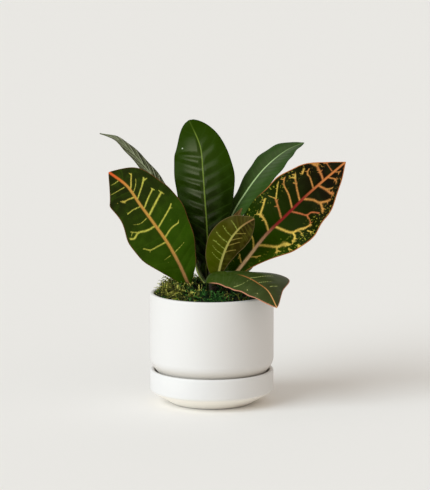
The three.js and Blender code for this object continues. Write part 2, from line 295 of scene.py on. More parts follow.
@dataclass(frozen=True)
class LeafFinish:
    """Living croton leaf: leathery, waxed by its own cuticle, satin, with veins in warm colours.

    Colours are those of the blade at its root, at its tip and right of the midrib (right_share of
    it, up to right_until along), of the side veins and the reddest of them, of the midrib at root,
    middle and tip (rib_turns says where they change), of the margin, of the plain folds, of the
    net of small veins and the flecks, of the stalk and of the underside. The stalk colour is painted
    shade, dark for the stalks deep in the crown, and on the centre leaf the dark root and right
    colours are painted shade too. halo is the glow beside a vein, net and flecks say how thick the
    small veins and the dots lie, sheen is the gloss beside the midrib on top of specular (sheen_right
    is its share on the right half), and mottle the size of the blade's patches, mm. rib_end and
    margin_left are the shares along the leaf where the midrib's colour ends and where the left
    margin's starts.
    """

    name: str
    blade_root: str
    blade_tip: str
    blade_right: str
    right_share: float
    vein: str
    vein_red: str
    rib: tuple[str, str, str]
    margin: str
    margin_mm: float
    plain: str
    plain_share: float = 0.25
    halo: float = 0.35
    net: float = 0.0
    net_colour: str = "b9a63c"
    flecks: float = 0.0
    # Painted shade: the stalks deep in the crown are drawn this dark.
    stalk: str = "282a12"
    under: str = "56663a"
    roughness: float = 0.4
    specular: float = 0.08
    sheen: float = 0.0
    sheen_right: float = 1.0
    mottle: float = 9.0
    rib_turns: tuple[float, float, float, float] = (0.3, 0.6, 0.65, 0.92)
    right_until: float = 2.0
    rib_end: float = 1.1
    margin_left: float = 0.2

    # The yellowish tint of the wax, and the sizes of the finer patterns on the flat leaf, mm.
    WAX: ClassVar[str] = "fff2c8"
    IOR: ClassVar[float] = 1.45
    WOBBLE: ClassVar[float] = 1.667
    STREAK: ClassVar[float] = 2.174
    STREAK_PATCH: ClassVar[float] = 7.692
    FLECK_CELL: ClassVar[float] = 5.882
    TONE_PATCH: ClassVar[float] = 4.545
    SKIN_CELL: ClassVar[float] = 1.333
    SKIN_DEPTH: ClassVar[float] = 0.15
    SKIN_STRENGTH: ClassVar[float] = 0.25
    # How far the wobble moves the edges of side veins and midrib (in half widths) and margin (mm),
    # how much of a side vein's colour wears off in patches, how softly the colour right of the
    # midrib ends (share of the length), and the share of the underside's own colour.
    VEIN_WOBBLE: ClassVar[float] = 1.8
    RIB_WOBBLE: ClassVar[float] = 0.5
    MARGIN_WOBBLE: ClassVar[float] = 1.2
    WORN: ClassVar[float] = 0.45
    RIGHT_SOFT: ClassVar[float] = 0.2
    UNDER_SHARE: ClassVar[float] = 0.55

    def material(self) -> bpy.types.Material:
        """Makes the leaf's material, drawn from the vein attributes of its mesh.

        Returns:
            The material.
        """
        material, tree, shader = blank_material(self.name)
        blend = Blend(tree)
        leaf = LeafPlace.read(blend, SHEET_UNIT / self.WOBBLE)
        ripe = blend.ramp(leaf.along, 0.65, 1.1)
        speckle = blend.mix(ripe, linear(self.net_colour), linear(self.vein_red))
        colour = self._blade(blend, leaf)
        colour = self._net(blend, leaf, colour, speckle)
        colour = self._flecks(blend, leaf, colour, speckle)
        colour = self._side_veins(blend, leaf, colour)
        colour = self._margin(blend, leaf, colour)
        colour = self._midrib(blend, leaf, colour)
        under = blend.mix(self.UNDER_SHARE, colour, linear(self.under))
        colour = blend.mix(blend.ramp(blend.attribute("under"), 0.4, 0.6), colour, under)
        tree.links.new(colour, shader.inputs["Base Color"])
        shader.inputs["Roughness"].default_value = self.roughness
        shader.inputs["Specular IOR Level"].default_value = self.specular
        if self.sheen:
            tree.links.new(self._waxed(blend, leaf), shader.inputs["Specular IOR Level"])
        shader.inputs["IOR"].default_value = self.IOR
        shader.inputs["Specular Tint"].default_value = linear(self.WAX)
        placed = {"Vector": leaf.sheet, "Scale": SHEET_UNIT / self.SKIN_CELL}
        cells = add(tree, "ShaderNodeTexVoronoi", placed, feature="DISTANCE_TO_EDGE")
        blend.emboss(shader, cells.outputs[0], self.SKIN_STRENGTH, self.SKIN_DEPTH)
        return material

    def _waxed(self, blend: Blend, leaf: LeafPlace) -> bpy.types.NodeSocket:
        """Gloss, stronger beside the midrib in the middle of the leaf, where the wax is thickest.

        Args:
            blend: the material's arithmetic.
            leaf: where on the leaf a point lies.

        Returns:
            The specular level.
        """
        inner = blend.ramp(leaf.out, 0.75, 0.3, self.sheen)
        waxed = blend.maths("MULTIPLY", inner, blend.ramp(leaf.along, 0.4, 0.7))
        waxed = blend.maths("MULTIPLY", waxed, blend.ramp(leaf.along, 0.95, 0.85))
        side = blend.maths("ADD", leaf.left(blend, 1 - self.sheen_right), self.sheen_right)
        return blend.maths("ADD", blend.maths("MULTIPLY", waxed, side), self.specular)

    def _blade(self, blend: Blend, leaf: LeafPlace) -> bpy.types.NodeSocket:
        """Green of the blade: root to tip, a little different right of the midrib, mottled. On the centre
        leaf the dark root and right colours are painted shade.

        Args:
            blend: the material's arithmetic.
            leaf: where on the leaf a point lies.

        Returns:
            The colour.
        """
        tip = blend.ramp(leaf.along, 0.35, 0.9)
        colour = blend.mix(tip, linear(self.blade_root), linear(self.blade_tip))
        near_root = blend.ramp(leaf.along, self.right_until + self.RIGHT_SOFT, self.right_until)
        right = blend.maths("MULTIPLY", leaf.right(blend, self.right_share), near_root)
        colour = blend.mix(right, colour, linear(self.blade_right))
        patches = blend.ramp(blend.noise(leaf.sheet, SHEET_UNIT / self.mottle, 3.0), 0.4, 0.75, 0.35)
        return blend.mix(patches, colour, linear(self.plain))

    def _net(self, blend: Blend, leaf: LeafPlace, colour: Any, speckle: Any) -> Any:
        """Ragged streaks of small veins that thicken in patches towards the margin.

        Args:
            blend: the material's arithmetic.
            leaf: where on the leaf a point lies.
            colour: the colour below.
            speckle: the colour of the streaks.

        Returns:
            The colour with the streaks over it.
        """
        if not self.net:
            return colour
        streaks = blend.ramp(blend.noise(leaf.sheet, SHEET_UNIT / self.STREAK, 3.0), 0.56, 0.63)
        patches = blend.ramp(blend.noise(leaf.sheet, SHEET_UNIT / self.STREAK_PATCH), 0.44, 0.58)
        outer = blend.ramp(leaf.out, 0.45, 0.8, self.net)
        share = blend.maths("MULTIPLY", blend.maths("MULTIPLY", streaks, patches), outer)
        return blend.mix(share, colour, speckle)

    def _flecks(self, blend: Blend, leaf: LeafPlace, colour: Any, speckle: Any) -> Any:
        """Small pale dots, scattered one to a cell in some of the cells.

        Args:
            blend: the material's arithmetic.
            leaf: where on the leaf a point lies.
            colour: the colour below.
            speckle: the colour of the dots.

        Returns:
            The colour with the dots over it.
        """
        if not self.flecks:
            return colour
        placed = {"Vector": leaf.sheet, "Scale": SHEET_UNIT / self.FLECK_CELL}
        cells = add(blend.tree, "ShaderNodeTexVoronoi", placed)
        chance = add(blend.tree, "ShaderNodeSeparateColor", {0: cells.outputs["Color"]}).outputs[0]
        chosen = blend.ramp(chance, 0.97 - self.flecks, 1.0 - self.flecks)
        dots = blend.ramp(cells.outputs["Distance"], 0.10, 0.05)
        outer = blend.ramp(leaf.out, 0.2, 0.6)
        share = blend.maths("MULTIPLY", blend.maths("MULTIPLY", dots, chosen), outer)
        return blend.mix(share, colour, speckle)

    def _side_veins(self, blend: Blend, leaf: LeafPlace, colour: Any) -> bpy.types.NodeSocket:
        """Side veins: a faint line on each, and the coloured ones with a soft halo.

        Args:
            blend: the material's arithmetic.
            leaf: where on the leaf a point lies.
            colour: the colour below.

        Returns:
            The colour with the veins over it.
        """
        plain = blend.ramp(blend.attribute("plain"), -1.2, 0.6, self.plain_share)
        colour = blend.mix(plain, colour, linear(self.plain))
        edge = blend.maths("ADD", blend.attribute("vein"), leaf.uneven(blend, self.VEIN_WOBBLE))
        redness = blend.ramp(blend.attribute("redness"), 0.0, 1.0)
        tone = blend.mix(redness, linear(self.vein), linear(self.vein_red))
        worn = blend.ramp(blend.noise(leaf.sheet, SHEET_UNIT / self.TONE_PATCH), 0.35, 0.6, self.WORN)
        full = blend.maths("ADD", worn, 1 - self.WORN)
        colour = blend.mix(blend.ramp(edge, -1.6, 0.2, self.halo), colour, tone)
        return blend.mix(blend.maths("MULTIPLY", blend.ramp(edge, -0.25, 0.35), full), colour, tone)

    def _margin(self, blend: Blend, leaf: LeafPlace, colour: Any) -> bpy.types.NodeSocket:
        """Coloured line along the blade's margin, a little uneven.

        Args:
            blend: the material's arithmetic.
            leaf: where on the leaf a point lies.
            colour: the colour below.

        Returns:
            The colour with the line over it.
        """
        inset = blend.maths("ADD", blend.attribute("inset"), leaf.uneven(blend, self.MARGIN_WOBBLE))
        line = blend.ramp(inset, self.margin_mm * 1.5, self.margin_mm * 0.5)
        share = blend.maths("MULTIPLY", line, blend.ramp(leaf.along, 0.28, 0.38))
        left = blend.ramp(leaf.along, self.margin_left, self.margin_left + 0.12)
        share = blend.maths("MULTIPLY", share, blend.maths("MAXIMUM", left, leaf.right(blend)))
        return blend.mix(share, colour, linear(self.margin))

    def _midrib(self, blend: Blend, leaf: LeafPlace, colour: Any) -> bpy.types.NodeSocket:
        """Midrib and stalk: its colour runs from root over middle to tip, with the stalk in a dark colour
        that is painted shade.

        Args:
            blend: the material's arithmetic.
            leaf: where on the leaf a point lies.
            colour: the colour below.

        Returns:
            The colour with the midrib over it.
        """
        root, middle, tip = (linear(code) for code in self.rib)
        # The stalk colour is painted shade for the stalks in the crown.
        root = blend.mix(blend.ramp(leaf.along, 0.2, 0.32), linear(self.stalk), root)
        tone = blend.mix(blend.ramp(leaf.along, *self.rib_turns[:2]), root, middle)
        tone = blend.mix(blend.ramp(leaf.along, *self.rib_turns[2:]), tone, tip)
        edge = blend.maths("ADD", blend.attribute("rib"), leaf.uneven(blend, self.RIB_WOBBLE))
        colour = blend.mix(blend.ramp(edge, -0.9, 0.1, self.halo), colour, tone)
        ends = blend.ramp(leaf.along, self.rib_end, self.rib_end - 0.05)
        line = blend.maths("MULTIPLY", blend.ramp(edge, -0.12, 0.2), ends)
        return blend.mix(line, colour, tone)


# ---- curves -----------------------------------------------------------------------------------


def through(values: Any, at: np.ndarray) -> np.ndarray:
    """Smooth values through evenly spaced knots (Catmull-Rom, end knots mirrored).

    Args:
        values: one row for each knot.
        at: places from 0 to 1.

    Returns:
        One row for each place.
    """
    rows = np.asarray(values, float)
    rows = np.concatenate([2 * rows[:1] - rows[1:2], rows, 2 * rows[-1:] - rows[-2:-1]])
    spans = len(rows) - 3
    place = np.clip(at, 0, 1) * spans
    index = np.minimum(place.astype(int), spans - 1)
    share = place - index
    if rows.ndim > 1:
        share = share[:, None]
    a, b, c, d = (rows[index + k] for k in range(4))
    cubic = 3 * b - a - 3 * c + d
    return 0.5 * (2 * b + (c - a) * share + (2 * a - 5 * b + 4 * c - d) * share ** 2 + cubic * share ** 3)


def step(low: float, high: float, value: np.ndarray) -> np.ndarray:
    """Smooth step from 0 at low to 1 at high."""
    share = np.clip((value - low) / (high - low), 0, 1)
    return share * share * (3 - 2 * share)


def unit(rows: np.ndarray) -> np.ndarray:
    """Rows scaled to length 1."""
    return rows / np.linalg.norm(rows, axis=1)[:, None]


def close_mesh(maker: bmesh.types.BMesh, name: str) -> bpy.types.Mesh:
    """Turns a finished bmesh into a mesh and frees it.

    Args:
        maker: the bmesh.
        name: the mesh's name.

    Returns:
        The mesh.
    """
    mesh = bpy.data.meshes.new(name)
    maker.to_mesh(mesh)
    maker.free()
    return mesh


def extrude_ring(maker: bmesh.types.BMesh, edges: list[bmesh.types.BMEdge]
                 ) -> tuple[list[bmesh.types.BMVert], list[bmesh.types.BMEdge]]:
    """Extrudes a ring of edges in place.

    Args:
        maker: the bmesh.
        edges: the ring.

    Returns:
        The new ring's corners and edges.
    """
    grown = bmesh.ops.extrude_edge_only(maker, edges=edges)["geom"]
    verts = [item for item in grown if isinstance(item, bmesh.types.BMVert)]
    return verts, [item for item in grown if isinstance(item, bmesh.types.BMEdge)]


def spin_closed(maker: bmesh.types.BMesh, outline: list[Any], steps: int) -> None:
    """Spins an outline once round the upright axis.

    Args:
        maker: the bmesh.
        outline: the outline's corners and edges.
        steps: sides of the turned piece.
    """
    bmesh.ops.spin(maker, geom=outline, axis=(0, 0, 1), cent=(0, 0, 0), angle=math.tau, steps=steps,
                   use_merge=True)


def into_scene(name: str, data: bpy.types.ID) -> bpy.types.Object:
    """Puts a mesh, light or camera into the scene at the origin.

    Args:
        name: the object's name.
        data: the mesh, light or camera.

    Returns:
        The object.
    """
    placed = bpy.data.objects.new(name, data)
    bpy.context.collection.objects.link(placed)
    return placed


def finish_object(name: str, mesh: bpy.types.Mesh, material: bpy.types.Material,
                  nodes: list[str]) -> bpy.types.Object:
    """Args:
        name: the piece's name.
        mesh: its mesh, in place and in metres.
        material: its finish.
        nodes: the solids it stands for.

    Returns:
        The object.
    """
    mesh.materials.append(material)
    mesh.polygons.foreach_set("use_smooth", np.ones(len(mesh.polygons), bool))
    piece = into_scene(name, mesh)
    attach(piece, BODY)
    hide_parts(*nodes)
    LOG.info("%s: %d faces", name, len(mesh.polygons))
    return piece


# ---- holder -----------------------------------------------------------------------------------


@dataclass(frozen=True)
class Corner:
    """One corner of a turned profile: radius and height in mm, and how far it is rounded."""

    radius: float
    height: float
    round: float = 0.0


@dataclass
class TurnedPiece:
    """A thrown ceramic piece: a closed profile spun round the upright axis."""

    name: str
    slot: str
    finish: GlazedStoneware
    corners: list[Corner]
    segments: int = 160
    arc_steps: int = 6

    def profile(self) -> list[Vector]:
        """Rounds each corner of the profile by a short curve.

        Returns:
            The profile's points in metres.
        """
        points = []
        count = len(self.corners)
        for i, corner in enumerate(self.corners):
            here = Vector((corner.radius, 0, corner.height))
            if not corner.round:
                points.append(here * MM)
                continue
            neighbours = (self.corners[i - 1], self.corners[(i + 1) % count])
            ways = (Vector((other.radius, 0, other.height)) - here for other in neighbours)
            start, end = (here + way.normalized() * corner.round for way in ways)
            for k in range(self.arc_steps + 1):
                share = k / self.arc_steps
                near = start.lerp(here, share)
                points.append(near.lerp(here.lerp(end, share), share) * MM)
        return points

    def build(self) -> bpy.types.Object:
        """Spins the profile into one closed body and dresses it.

        Returns:
            The piece.
        """
        maker = bmesh.new()
        corners = [maker.verts.new(point) for point in self.profile()]
        edges = [maker.edges.new(pair) for pair in zip(corners, corners[1:])]
        on_axis = self.corners[0].radius == 0
        if not on_axis:
            edges.append(maker.edges.new((corners[-1], corners[0])))
        spin_closed(maker, corners + edges, self.segments)
        bmesh.ops.remove_doubles(maker, verts=maker.verts[:], dist=1e-6)
        bmesh.ops.recalc_face_normals(maker, faces=maker.faces[:])
        mesh = close_mesh(maker, self.name)
        return finish_object(self.name + "_glazed", mesh, self.finish.material(), [self.name])


@dataclass
class Holder:
    """Pot and saucer, sizes in mm.

    Heights count from the underside of the saucer, and seat is the gap between both pieces. The
    fields that end in round say how far a corner is rounded.
    """

    pot_radius: float = 63.5
    wall: float = 4.5
    rim_top: float = 114.0
    saucer_rim: float = 34.6
    saucer_floor: float = 11.7
    foot_radius: float = 41.0
    crease: float = 13.2
    seat: float = 0.3
    neck_radius: float = 55.0
    neck_top: float = 31.0
    neck_inside_step: float = 3.0
    band_top: float = 43.0
    band_inside_step: float = 4.0
    pot_floor: float = 19.0
    drain_radius: float = 6.0
    foot_round: float = 1.4
    crease_round: float = 2.2
    saucer_floor_round: float = 6.0
    pot_corner_round: float = 4.0
    neck_round: float = 1.0
    band_round: float = 4.5
    band_inside_round: float = 3.0

    @property
    def inside(self) -> float:
        """Inside radius of the pot and of the saucer's wall."""
        return self.pot_radius - self.wall

    @property
    def rim_round(self) -> float:
        """Rounding of both rims, almost over the whole wall."""
        return self.wall * 0.45

    def saucer(self) -> TurnedPiece:
        """Footed saucer: flat disc, taper, upright wall with a rounded rim.

        Returns:
            The saucer, ready to be spun.
        """
        corners = [
            Corner(0, 0),
            Corner(self.foot_radius, 0, self.foot_round),
            Corner(self.pot_radius, self.crease, self.crease_round),
            Corner(self.pot_radius, self.saucer_rim, self.rim_round),
            Corner(self.inside, self.saucer_rim, self.rim_round),
            Corner(self.inside, self.saucer_floor, self.saucer_floor_round),
            Corner(0, self.saucer_floor),
        ]
        # The foot colour, lighter than the glaze, is painted bounce light on the saucer's downward taper.
        finish = GlazedStoneware("matt_white_stoneware_saucer", body="d9d5d1", foot="fbf5ea",
                                 painted_light_from=11.0, painted_light_to=15.0)
        return TurnedPiece("saucer", "saucer_ceramic", finish, corners)

    def pot(self) -> TurnedPiece:
        """Cylinder pot: neck, band that turns in, wall, rounded rim, drainage hole.

        Returns:
            The pot, ready to be spun.
        """
        neck_inside = self.neck_radius - self.wall
        base = self.saucer_floor + self.seat
        corners = [
            Corner(self.drain_radius, base),
            Corner(self.neck_radius, base, self.pot_corner_round),
            Corner(self.neck_radius, self.neck_top, self.neck_round),
            Corner(self.pot_radius, self.band_top, self.band_round),
            Corner(self.pot_radius, self.rim_top, self.rim_round),
            Corner(self.inside, self.rim_top, self.rim_round),
            Corner(self.inside, self.band_top + self.band_inside_step, self.band_inside_round),
            Corner(neck_inside, self.neck_top + self.neck_inside_step, self.neck_round),
            Corner(neck_inside, self.pot_floor, self.pot_corner_round),
            Corner(self.drain_radius, self.pot_floor),
        ]
        # The foot colour, darker and warmer than the glaze, is painted shade on the pot's lower band.
        finish = GlazedStoneware("matt_white_stoneware_pot", body="d9d4cf", foot="d4cdc3",
                                 painted_light_from=36.0, painted_light_to=45.0)
        return TurnedPiece("pot", "pot_ceramic", finish, corners)

    def build(self) -> None:
        """Builds both pieces."""
        self.saucer().build()
        self.pot().build()


# ---- filling ----------------------------------------------------------------------------------


@dataclass(frozen=True)
class MossTone:
    """One tone of moss: its finish, how many sprigs, how long (mm), and how likely one grows at x."""

    name: str
    finish: Fibre
    sprigs: int
    length: tuple[float, float]
    weight: Callable[[float], float]


@dataclass
class MossBed:
    """Moss over the soil: a lumpy cushion with curled, feathery sprigs standing out of it, mm.

    crown and edge are its heights round the stalks and at the pot, pile what it rises to between
    them (least in the direction pile_away, degrees), lumps the height of its lumps, rise the radii
    between which it climbs out of the crown, and sink how deep the cushion lies under the sprigs.
    """

    outer: float = 58.4
    hole: float = 4.4
    crown: float = 103.0
    edge: float = 111.0
    pile: float = 11.0
    pile_away: float = -30.0
    lumps: float = 1.1
    rise: tuple[float, float] = (9.0, 26.0)
    bottom: float = 96.4
    sink: float = 1.6
    rings: int = 44
    sectors: int = 150
    patterns: int = 9
    seed: int = 11

    # The pile's crest lies outside the ring's middle by a power, and the pile swings round the pot
    # by a share. Waves of the lumps, radians to a mm, and the height of the fine lumps between.
    CREST_POWER: ClassVar[float] = 1.6
    PILE_SWING: ClassVar[float] = 0.4
    LUMP_TURNS: ClassVar[tuple[float, float, float]] = (0.42, 0.37, 0.61)
    FINE_LUMPS: ClassVar[float] = 0.6
    # A sprig 1 long: radius of its foot, thinning and number of its spans, its curl in each, its
    # leaflets' half width, length at the foot and how much of it they lose towards the tip, swing
    # and lean, and how much brighter than the strand they are.
    FOOT: ClassVar[float] = 0.05
    THINNING: ClassVar[float] = 0.86
    SPANS: ClassVar[int] = 6
    CURL: ClassVar[tuple[float, float]] = (0.15, 0.6)
    LEAFLET: ClassVar[float] = 0.05
    LEAFLET_LENGTH: ClassVar[tuple[float, float]] = (0.1, 0.22)
    LEAFLET_SWING: ClassVar[float] = 0.7
    LEAFLET_LEAN: ClassVar[float] = 0.9
    LEAFLET_FIRST: ClassVar[float] = 1.15
    LEAFLET_LOSS: ClassVar[float] = 0.5
    LEAFLET_BRIGHTER: ClassVar[float] = 0.15
    # Radii of the zone along the pot's wall, how much higher and shorter sprigs are there, how far
    # one stands clear of the stem's hole, how deep it is rooted, and its tilt, radians.
    WALL_ZONE: ClassVar[tuple[float, float]] = (46.0, 55.0)
    WALL_LIFT: ClassVar[float] = 1.6
    WALL_SHORTER: ClassVar[float] = 0.3
    CLEAR: ClassVar[float] = 2.0
    ROOT_DEPTH: ClassVar[float] = 1.0
    TILT: ClassVar[tuple[float, float]] = (0.4, 1.45)
    # Sprigs near the stem are longer. One that would pass the wall with a share of its length
    # turns inwards, give or take an angle. Tones thrive in patches: waves to the right and to the
    # back in radians to a mm, and the least growth and length between the patches.
    CROWN_ZONE: ClassVar[tuple[float, float]] = (12.0, 26.0)
    CROWN_LONGER: ClassVar[float] = 0.5
    REACH: ClassVar[float] = 0.6
    INWARDS: ClassVar[float] = 1.0
    PATCH_TURNS: ClassVar[tuple[float, float]] = (0.23, 0.27)
    LEAST_GROWTH: ClassVar[float] = 0.35
    LEAST_LENGTH: ClassVar[float] = 0.6

    def height(self, x: np.ndarray, y: np.ndarray) -> np.ndarray:
        """Height of the cushion.

        Args:
            x: places to the right, mm.
            y: places to the back, mm.

        Returns:
            The heights, mm.
        """
        radius = np.hypot(x, y)
        away = np.cos(np.arctan2(y, x) - math.radians(self.pile_away))
        ridge = np.sin(math.pi * np.clip(radius / self.outer, 0, 1) ** self.CREST_POWER)
        pile = self.pile * (1 - self.PILE_SWING * (1 + away)) * ridge
        right, back, slant = self.LUMP_TURNS
        lumps = np.sin(right * x + 1.3) * np.cos(back * y) + 0.7 * np.sin(slant * (x - y))
        climb = step(*self.rise, radius)
        return self.crown + (self.edge - self.crown + pile + self.lumps * lumps) * climb

    def tones(self) -> list[MossTone]:
        """Moss tones: deep green in the middle, olive to straw at the left, brown in the gaps.

        Returns:
            The tones, in the order in which they grow.
        """
        green = Fibre("moss_deep_green", dark="081c02", light="226418", patch=9.0, tip="68a848")
        olive = Fibre("moss_olive", dark="2a3002", light="8a8c1a", patch=7.0, tip="f0e878")
        brown = Fibre("moss_dry_brown", dark="100a04", light="38260e", patch=6.0, tip="9a8450")
        return [
            MossTone("moss_green", green, 900, (8.0, 15.0), lambda x: 1.0 if -26 < x < 14 else 0.3),
            MossTone("moss_olive", olive, 900, (8.0, 16.0),
                     lambda x: 1.0 if x < -28 else 0.4 if x < -16 else 0.07),
            MossTone("moss_brown", brown, 500, (5.0, 10.0), lambda x: 0.9 if x > 4 else 0.2),
        ]

    def cushion(self) -> bpy.types.Object:
        """Lumpy closed ring under the sprigs, near black: painted shade deep among them.

        Returns:
            The cushion.
        """
        maker = bmesh.new()
        radii = np.linspace(self.hole, self.outer, self.rings)
        top = [maker.verts.new((r * MM, 0, self.edge * MM)) for r in radii]
        low = [maker.verts.new((r * MM, 0, self.bottom * MM)) for r in (self.outer, self.hole)]
        loop = top + low
        edges = [maker.edges.new(pair) for pair in zip(loop, loop[1:] + loop[:1])]
        spin_closed(maker, loop + edges, self.sectors)
        for vert in maker.verts:
            if vert.co.z > (self.bottom + 1) * MM:
                x, y = vert.co.x / MM, vert.co.y / MM
                fine = self.FINE_LUMPS * math.sin(1.9 * x + 0.7 * y) * math.sin(1.7 * y - 0.5 * x)
                vert.co.z = float(self.height(np.array(x), np.array(y)) - self.sink + fine) * MM
        bmesh.ops.recalc_face_normals(maker, faces=maker.faces[:])
        mesh = close_mesh(maker, "moss_cushion")
        # Near black: painted shade under the sprigs.
        finish = Fibre("moss_shaded", dark="060a02", light="141c08", patch=5.0)
        return finish_object("moss_cushion", mesh, finish.material(), ["moss"])

    def sprig(self, draw: random.Random) -> bpy.types.Mesh:
        """One curled sprig 1 m long: a tapering three-sided strand with side leaflets.

        Args:
            draw: the random source.

        Returns:
            A small mesh with a strand attribute that runs from root to tip.
        """
        maker = bmesh.new()
        strand = maker.verts.layers.float.new("strand")
        ring = bmesh.ops.create_circle(maker, segments=3, radius=self.FOOT)["verts"]
        edges = list({edge for vert in ring for edge in vert.link_edges})
        lean = draw.uniform(0, math.tau)
        turn = Matrix.Rotation(draw.uniform(*self.CURL), 3, Vector((math.cos(lean), math.sin(lean), 0.0)))
        heading = Vector((0.0, 0.0, 1.0))
        centre = Vector((0.0, 0.0, 0.0))
        for k in range(self.SPANS):
            share = (k + 1) / self.SPANS
            verts, edges = extrude_ring(maker, edges)
            centre = centre + heading / self.SPANS
            bmesh.ops.translate(maker, verts=verts, vec=heading / self.SPANS)
            bmesh.ops.rotate(maker, verts=verts, cent=centre, matrix=turn)
            bmesh.ops.scale(maker, verts=verts, vec=Vector.Fill(3, self.THINNING),
                            space=Matrix.Translation(-centre))
            for vert in verts:
                vert[strand] = share
            heading = turn @ heading
            self._leaflets(maker, strand, centre, heading, share, draw)
        mesh = close_mesh(maker, "sprig")
        mesh.attributes.new("shade", "FLOAT", "POINT")
        return mesh

    def _leaflets(self, maker: bmesh.types.BMesh, strand: Any, centre: Vector, heading: Vector, share: float,
                  draw: random.Random) -> None:
        """Adds two narrow leaflets at one place of a sprig.

        Args:
            maker: the sprig's bmesh.
            strand: its layer that runs from root to tip.
            centre: the place.
            heading: the way the sprig grows there.
            share: share of the way along the sprig.
            draw: the random source.
        """
        side = heading.orthogonal().normalized()
        for sign in (-1, 1):
            swing = Matrix.Rotation(draw.uniform(-self.LEAFLET_SWING, self.LEAFLET_SWING), 3, heading)
            outward = (swing @ side) * sign + heading * self.LEAFLET_LEAN
            length = draw.uniform(*self.LEAFLET_LENGTH) * (self.LEAFLET_FIRST - self.LEAFLET_LOSS * share)
            broad = heading.cross(outward).normalized() * self.LEAFLET
            corners = [centre - broad, centre + broad, centre + outward.normalized() * length]
            verts = [maker.verts.new(corner) for corner in corners]
            for vert in verts:
                vert[strand] = min(1.0, share + self.LEAFLET_BRIGHTER)
            maker.faces.new(verts)

    def grow(self, tone: MossTone, draw: random.Random) -> bpy.types.Object:
        """Scatters one tone's sprigs over the cushion.

        Args:
            tone: which moss.
            draw: the random source.

        Returns:
            The sprigs as one object.
        """
        patterns = [self.sprig(draw) for _ in range(self.patterns)]
        bed = bmesh.new()
        placed = 0
        while placed < tone.sprigs:
            radius = self.outer * math.sqrt(draw.random())
            angle = draw.uniform(0, math.tau)
            x, y = radius * math.cos(angle), radius * math.sin(angle)
            right, back = self.PATCH_TURNS
            patch = math.sin(right * x + 1.1 * len(tone.name)) * math.sin(back * y + 0.8)
            patch = 0.5 + 0.5 * patch
            if radius < self.hole + self.CLEAR:
                continue
            growth = self.LEAST_GROWTH + (1 - self.LEAST_GROWTH) * patch
            if draw.random() > tone.weight(x) * growth:
                continue
            wall = float(step(*self.WALL_ZONE, radius))
            z = float(self.height(np.array(x), np.array(y))) - self.sink - self.ROOT_DEPTH
            z += self.WALL_LIFT * wall
            length = draw.uniform(*tone.length) * (self.LEAST_LENGTH + (1 - self.LEAST_LENGTH) * patch)
            length *= 1 + self.CROWN_LONGER * (1 - step(*self.CROWN_ZONE, radius))
            length *= 1 - self.WALL_SHORTER * wall
            tilt = draw.uniform(*self.TILT)
            if radius + length * self.REACH > self.outer:
                way = angle + math.pi + draw.uniform(-self.INWARDS, self.INWARDS)
            else:
                way = draw.uniform(0, math.tau)
            axis = Vector((-math.sin(way), math.cos(way), 0.0))
            stand = (Matrix.Translation(Vector((x, y, z)) * MM) @ Matrix.Rotation(tilt, 4, axis)
                     @ Matrix.Rotation(draw.uniform(0, math.tau), 4, "Z") @ Matrix.Scale(length * MM, 4))
            pattern = draw.choice(patterns)
            pattern.attributes["shade"].data.foreach_set("value", [draw.random()] * len(pattern.vertices))
            pattern.transform(stand)
            bed.from_mesh(pattern)
            pattern.transform(stand.inverted())
            placed += 1
        mesh = close_mesh(bed, tone.name)
        for pattern in patterns:
            bpy.data.meshes.remove(pattern)
        return finish_object(tone.name, mesh, tone.finish.material(), ["moss"])

    def build(self) -> None:
        """Builds the cushion and its sprigs."""
        draw = random.Random(self.seed)
        self.cushion()
        for tone in self.tones():
            self.grow(tone, draw)


# ---- plant ------------------------------------------------------------------------------------


class Side(Enum):
    """Half of a leaf, seen from its upper face with the tip up."""

    LEFT = -1
    RIGHT = 1


@dataclass(frozen=True)
class Vein:
    """Side vein as places (share of the way along, share of the way out), its tone and its width.

    redness runs from 0 to 1, half_width is in mm at the midrib, and flare is the share that the
    vein gains (or loses, below 0) towards its end.
    """

    side: Side
    path: tuple[tuple[float, float], ...]
    redness: float = 0.0
    half_width: float = 0.75
    flare: float = -0.3


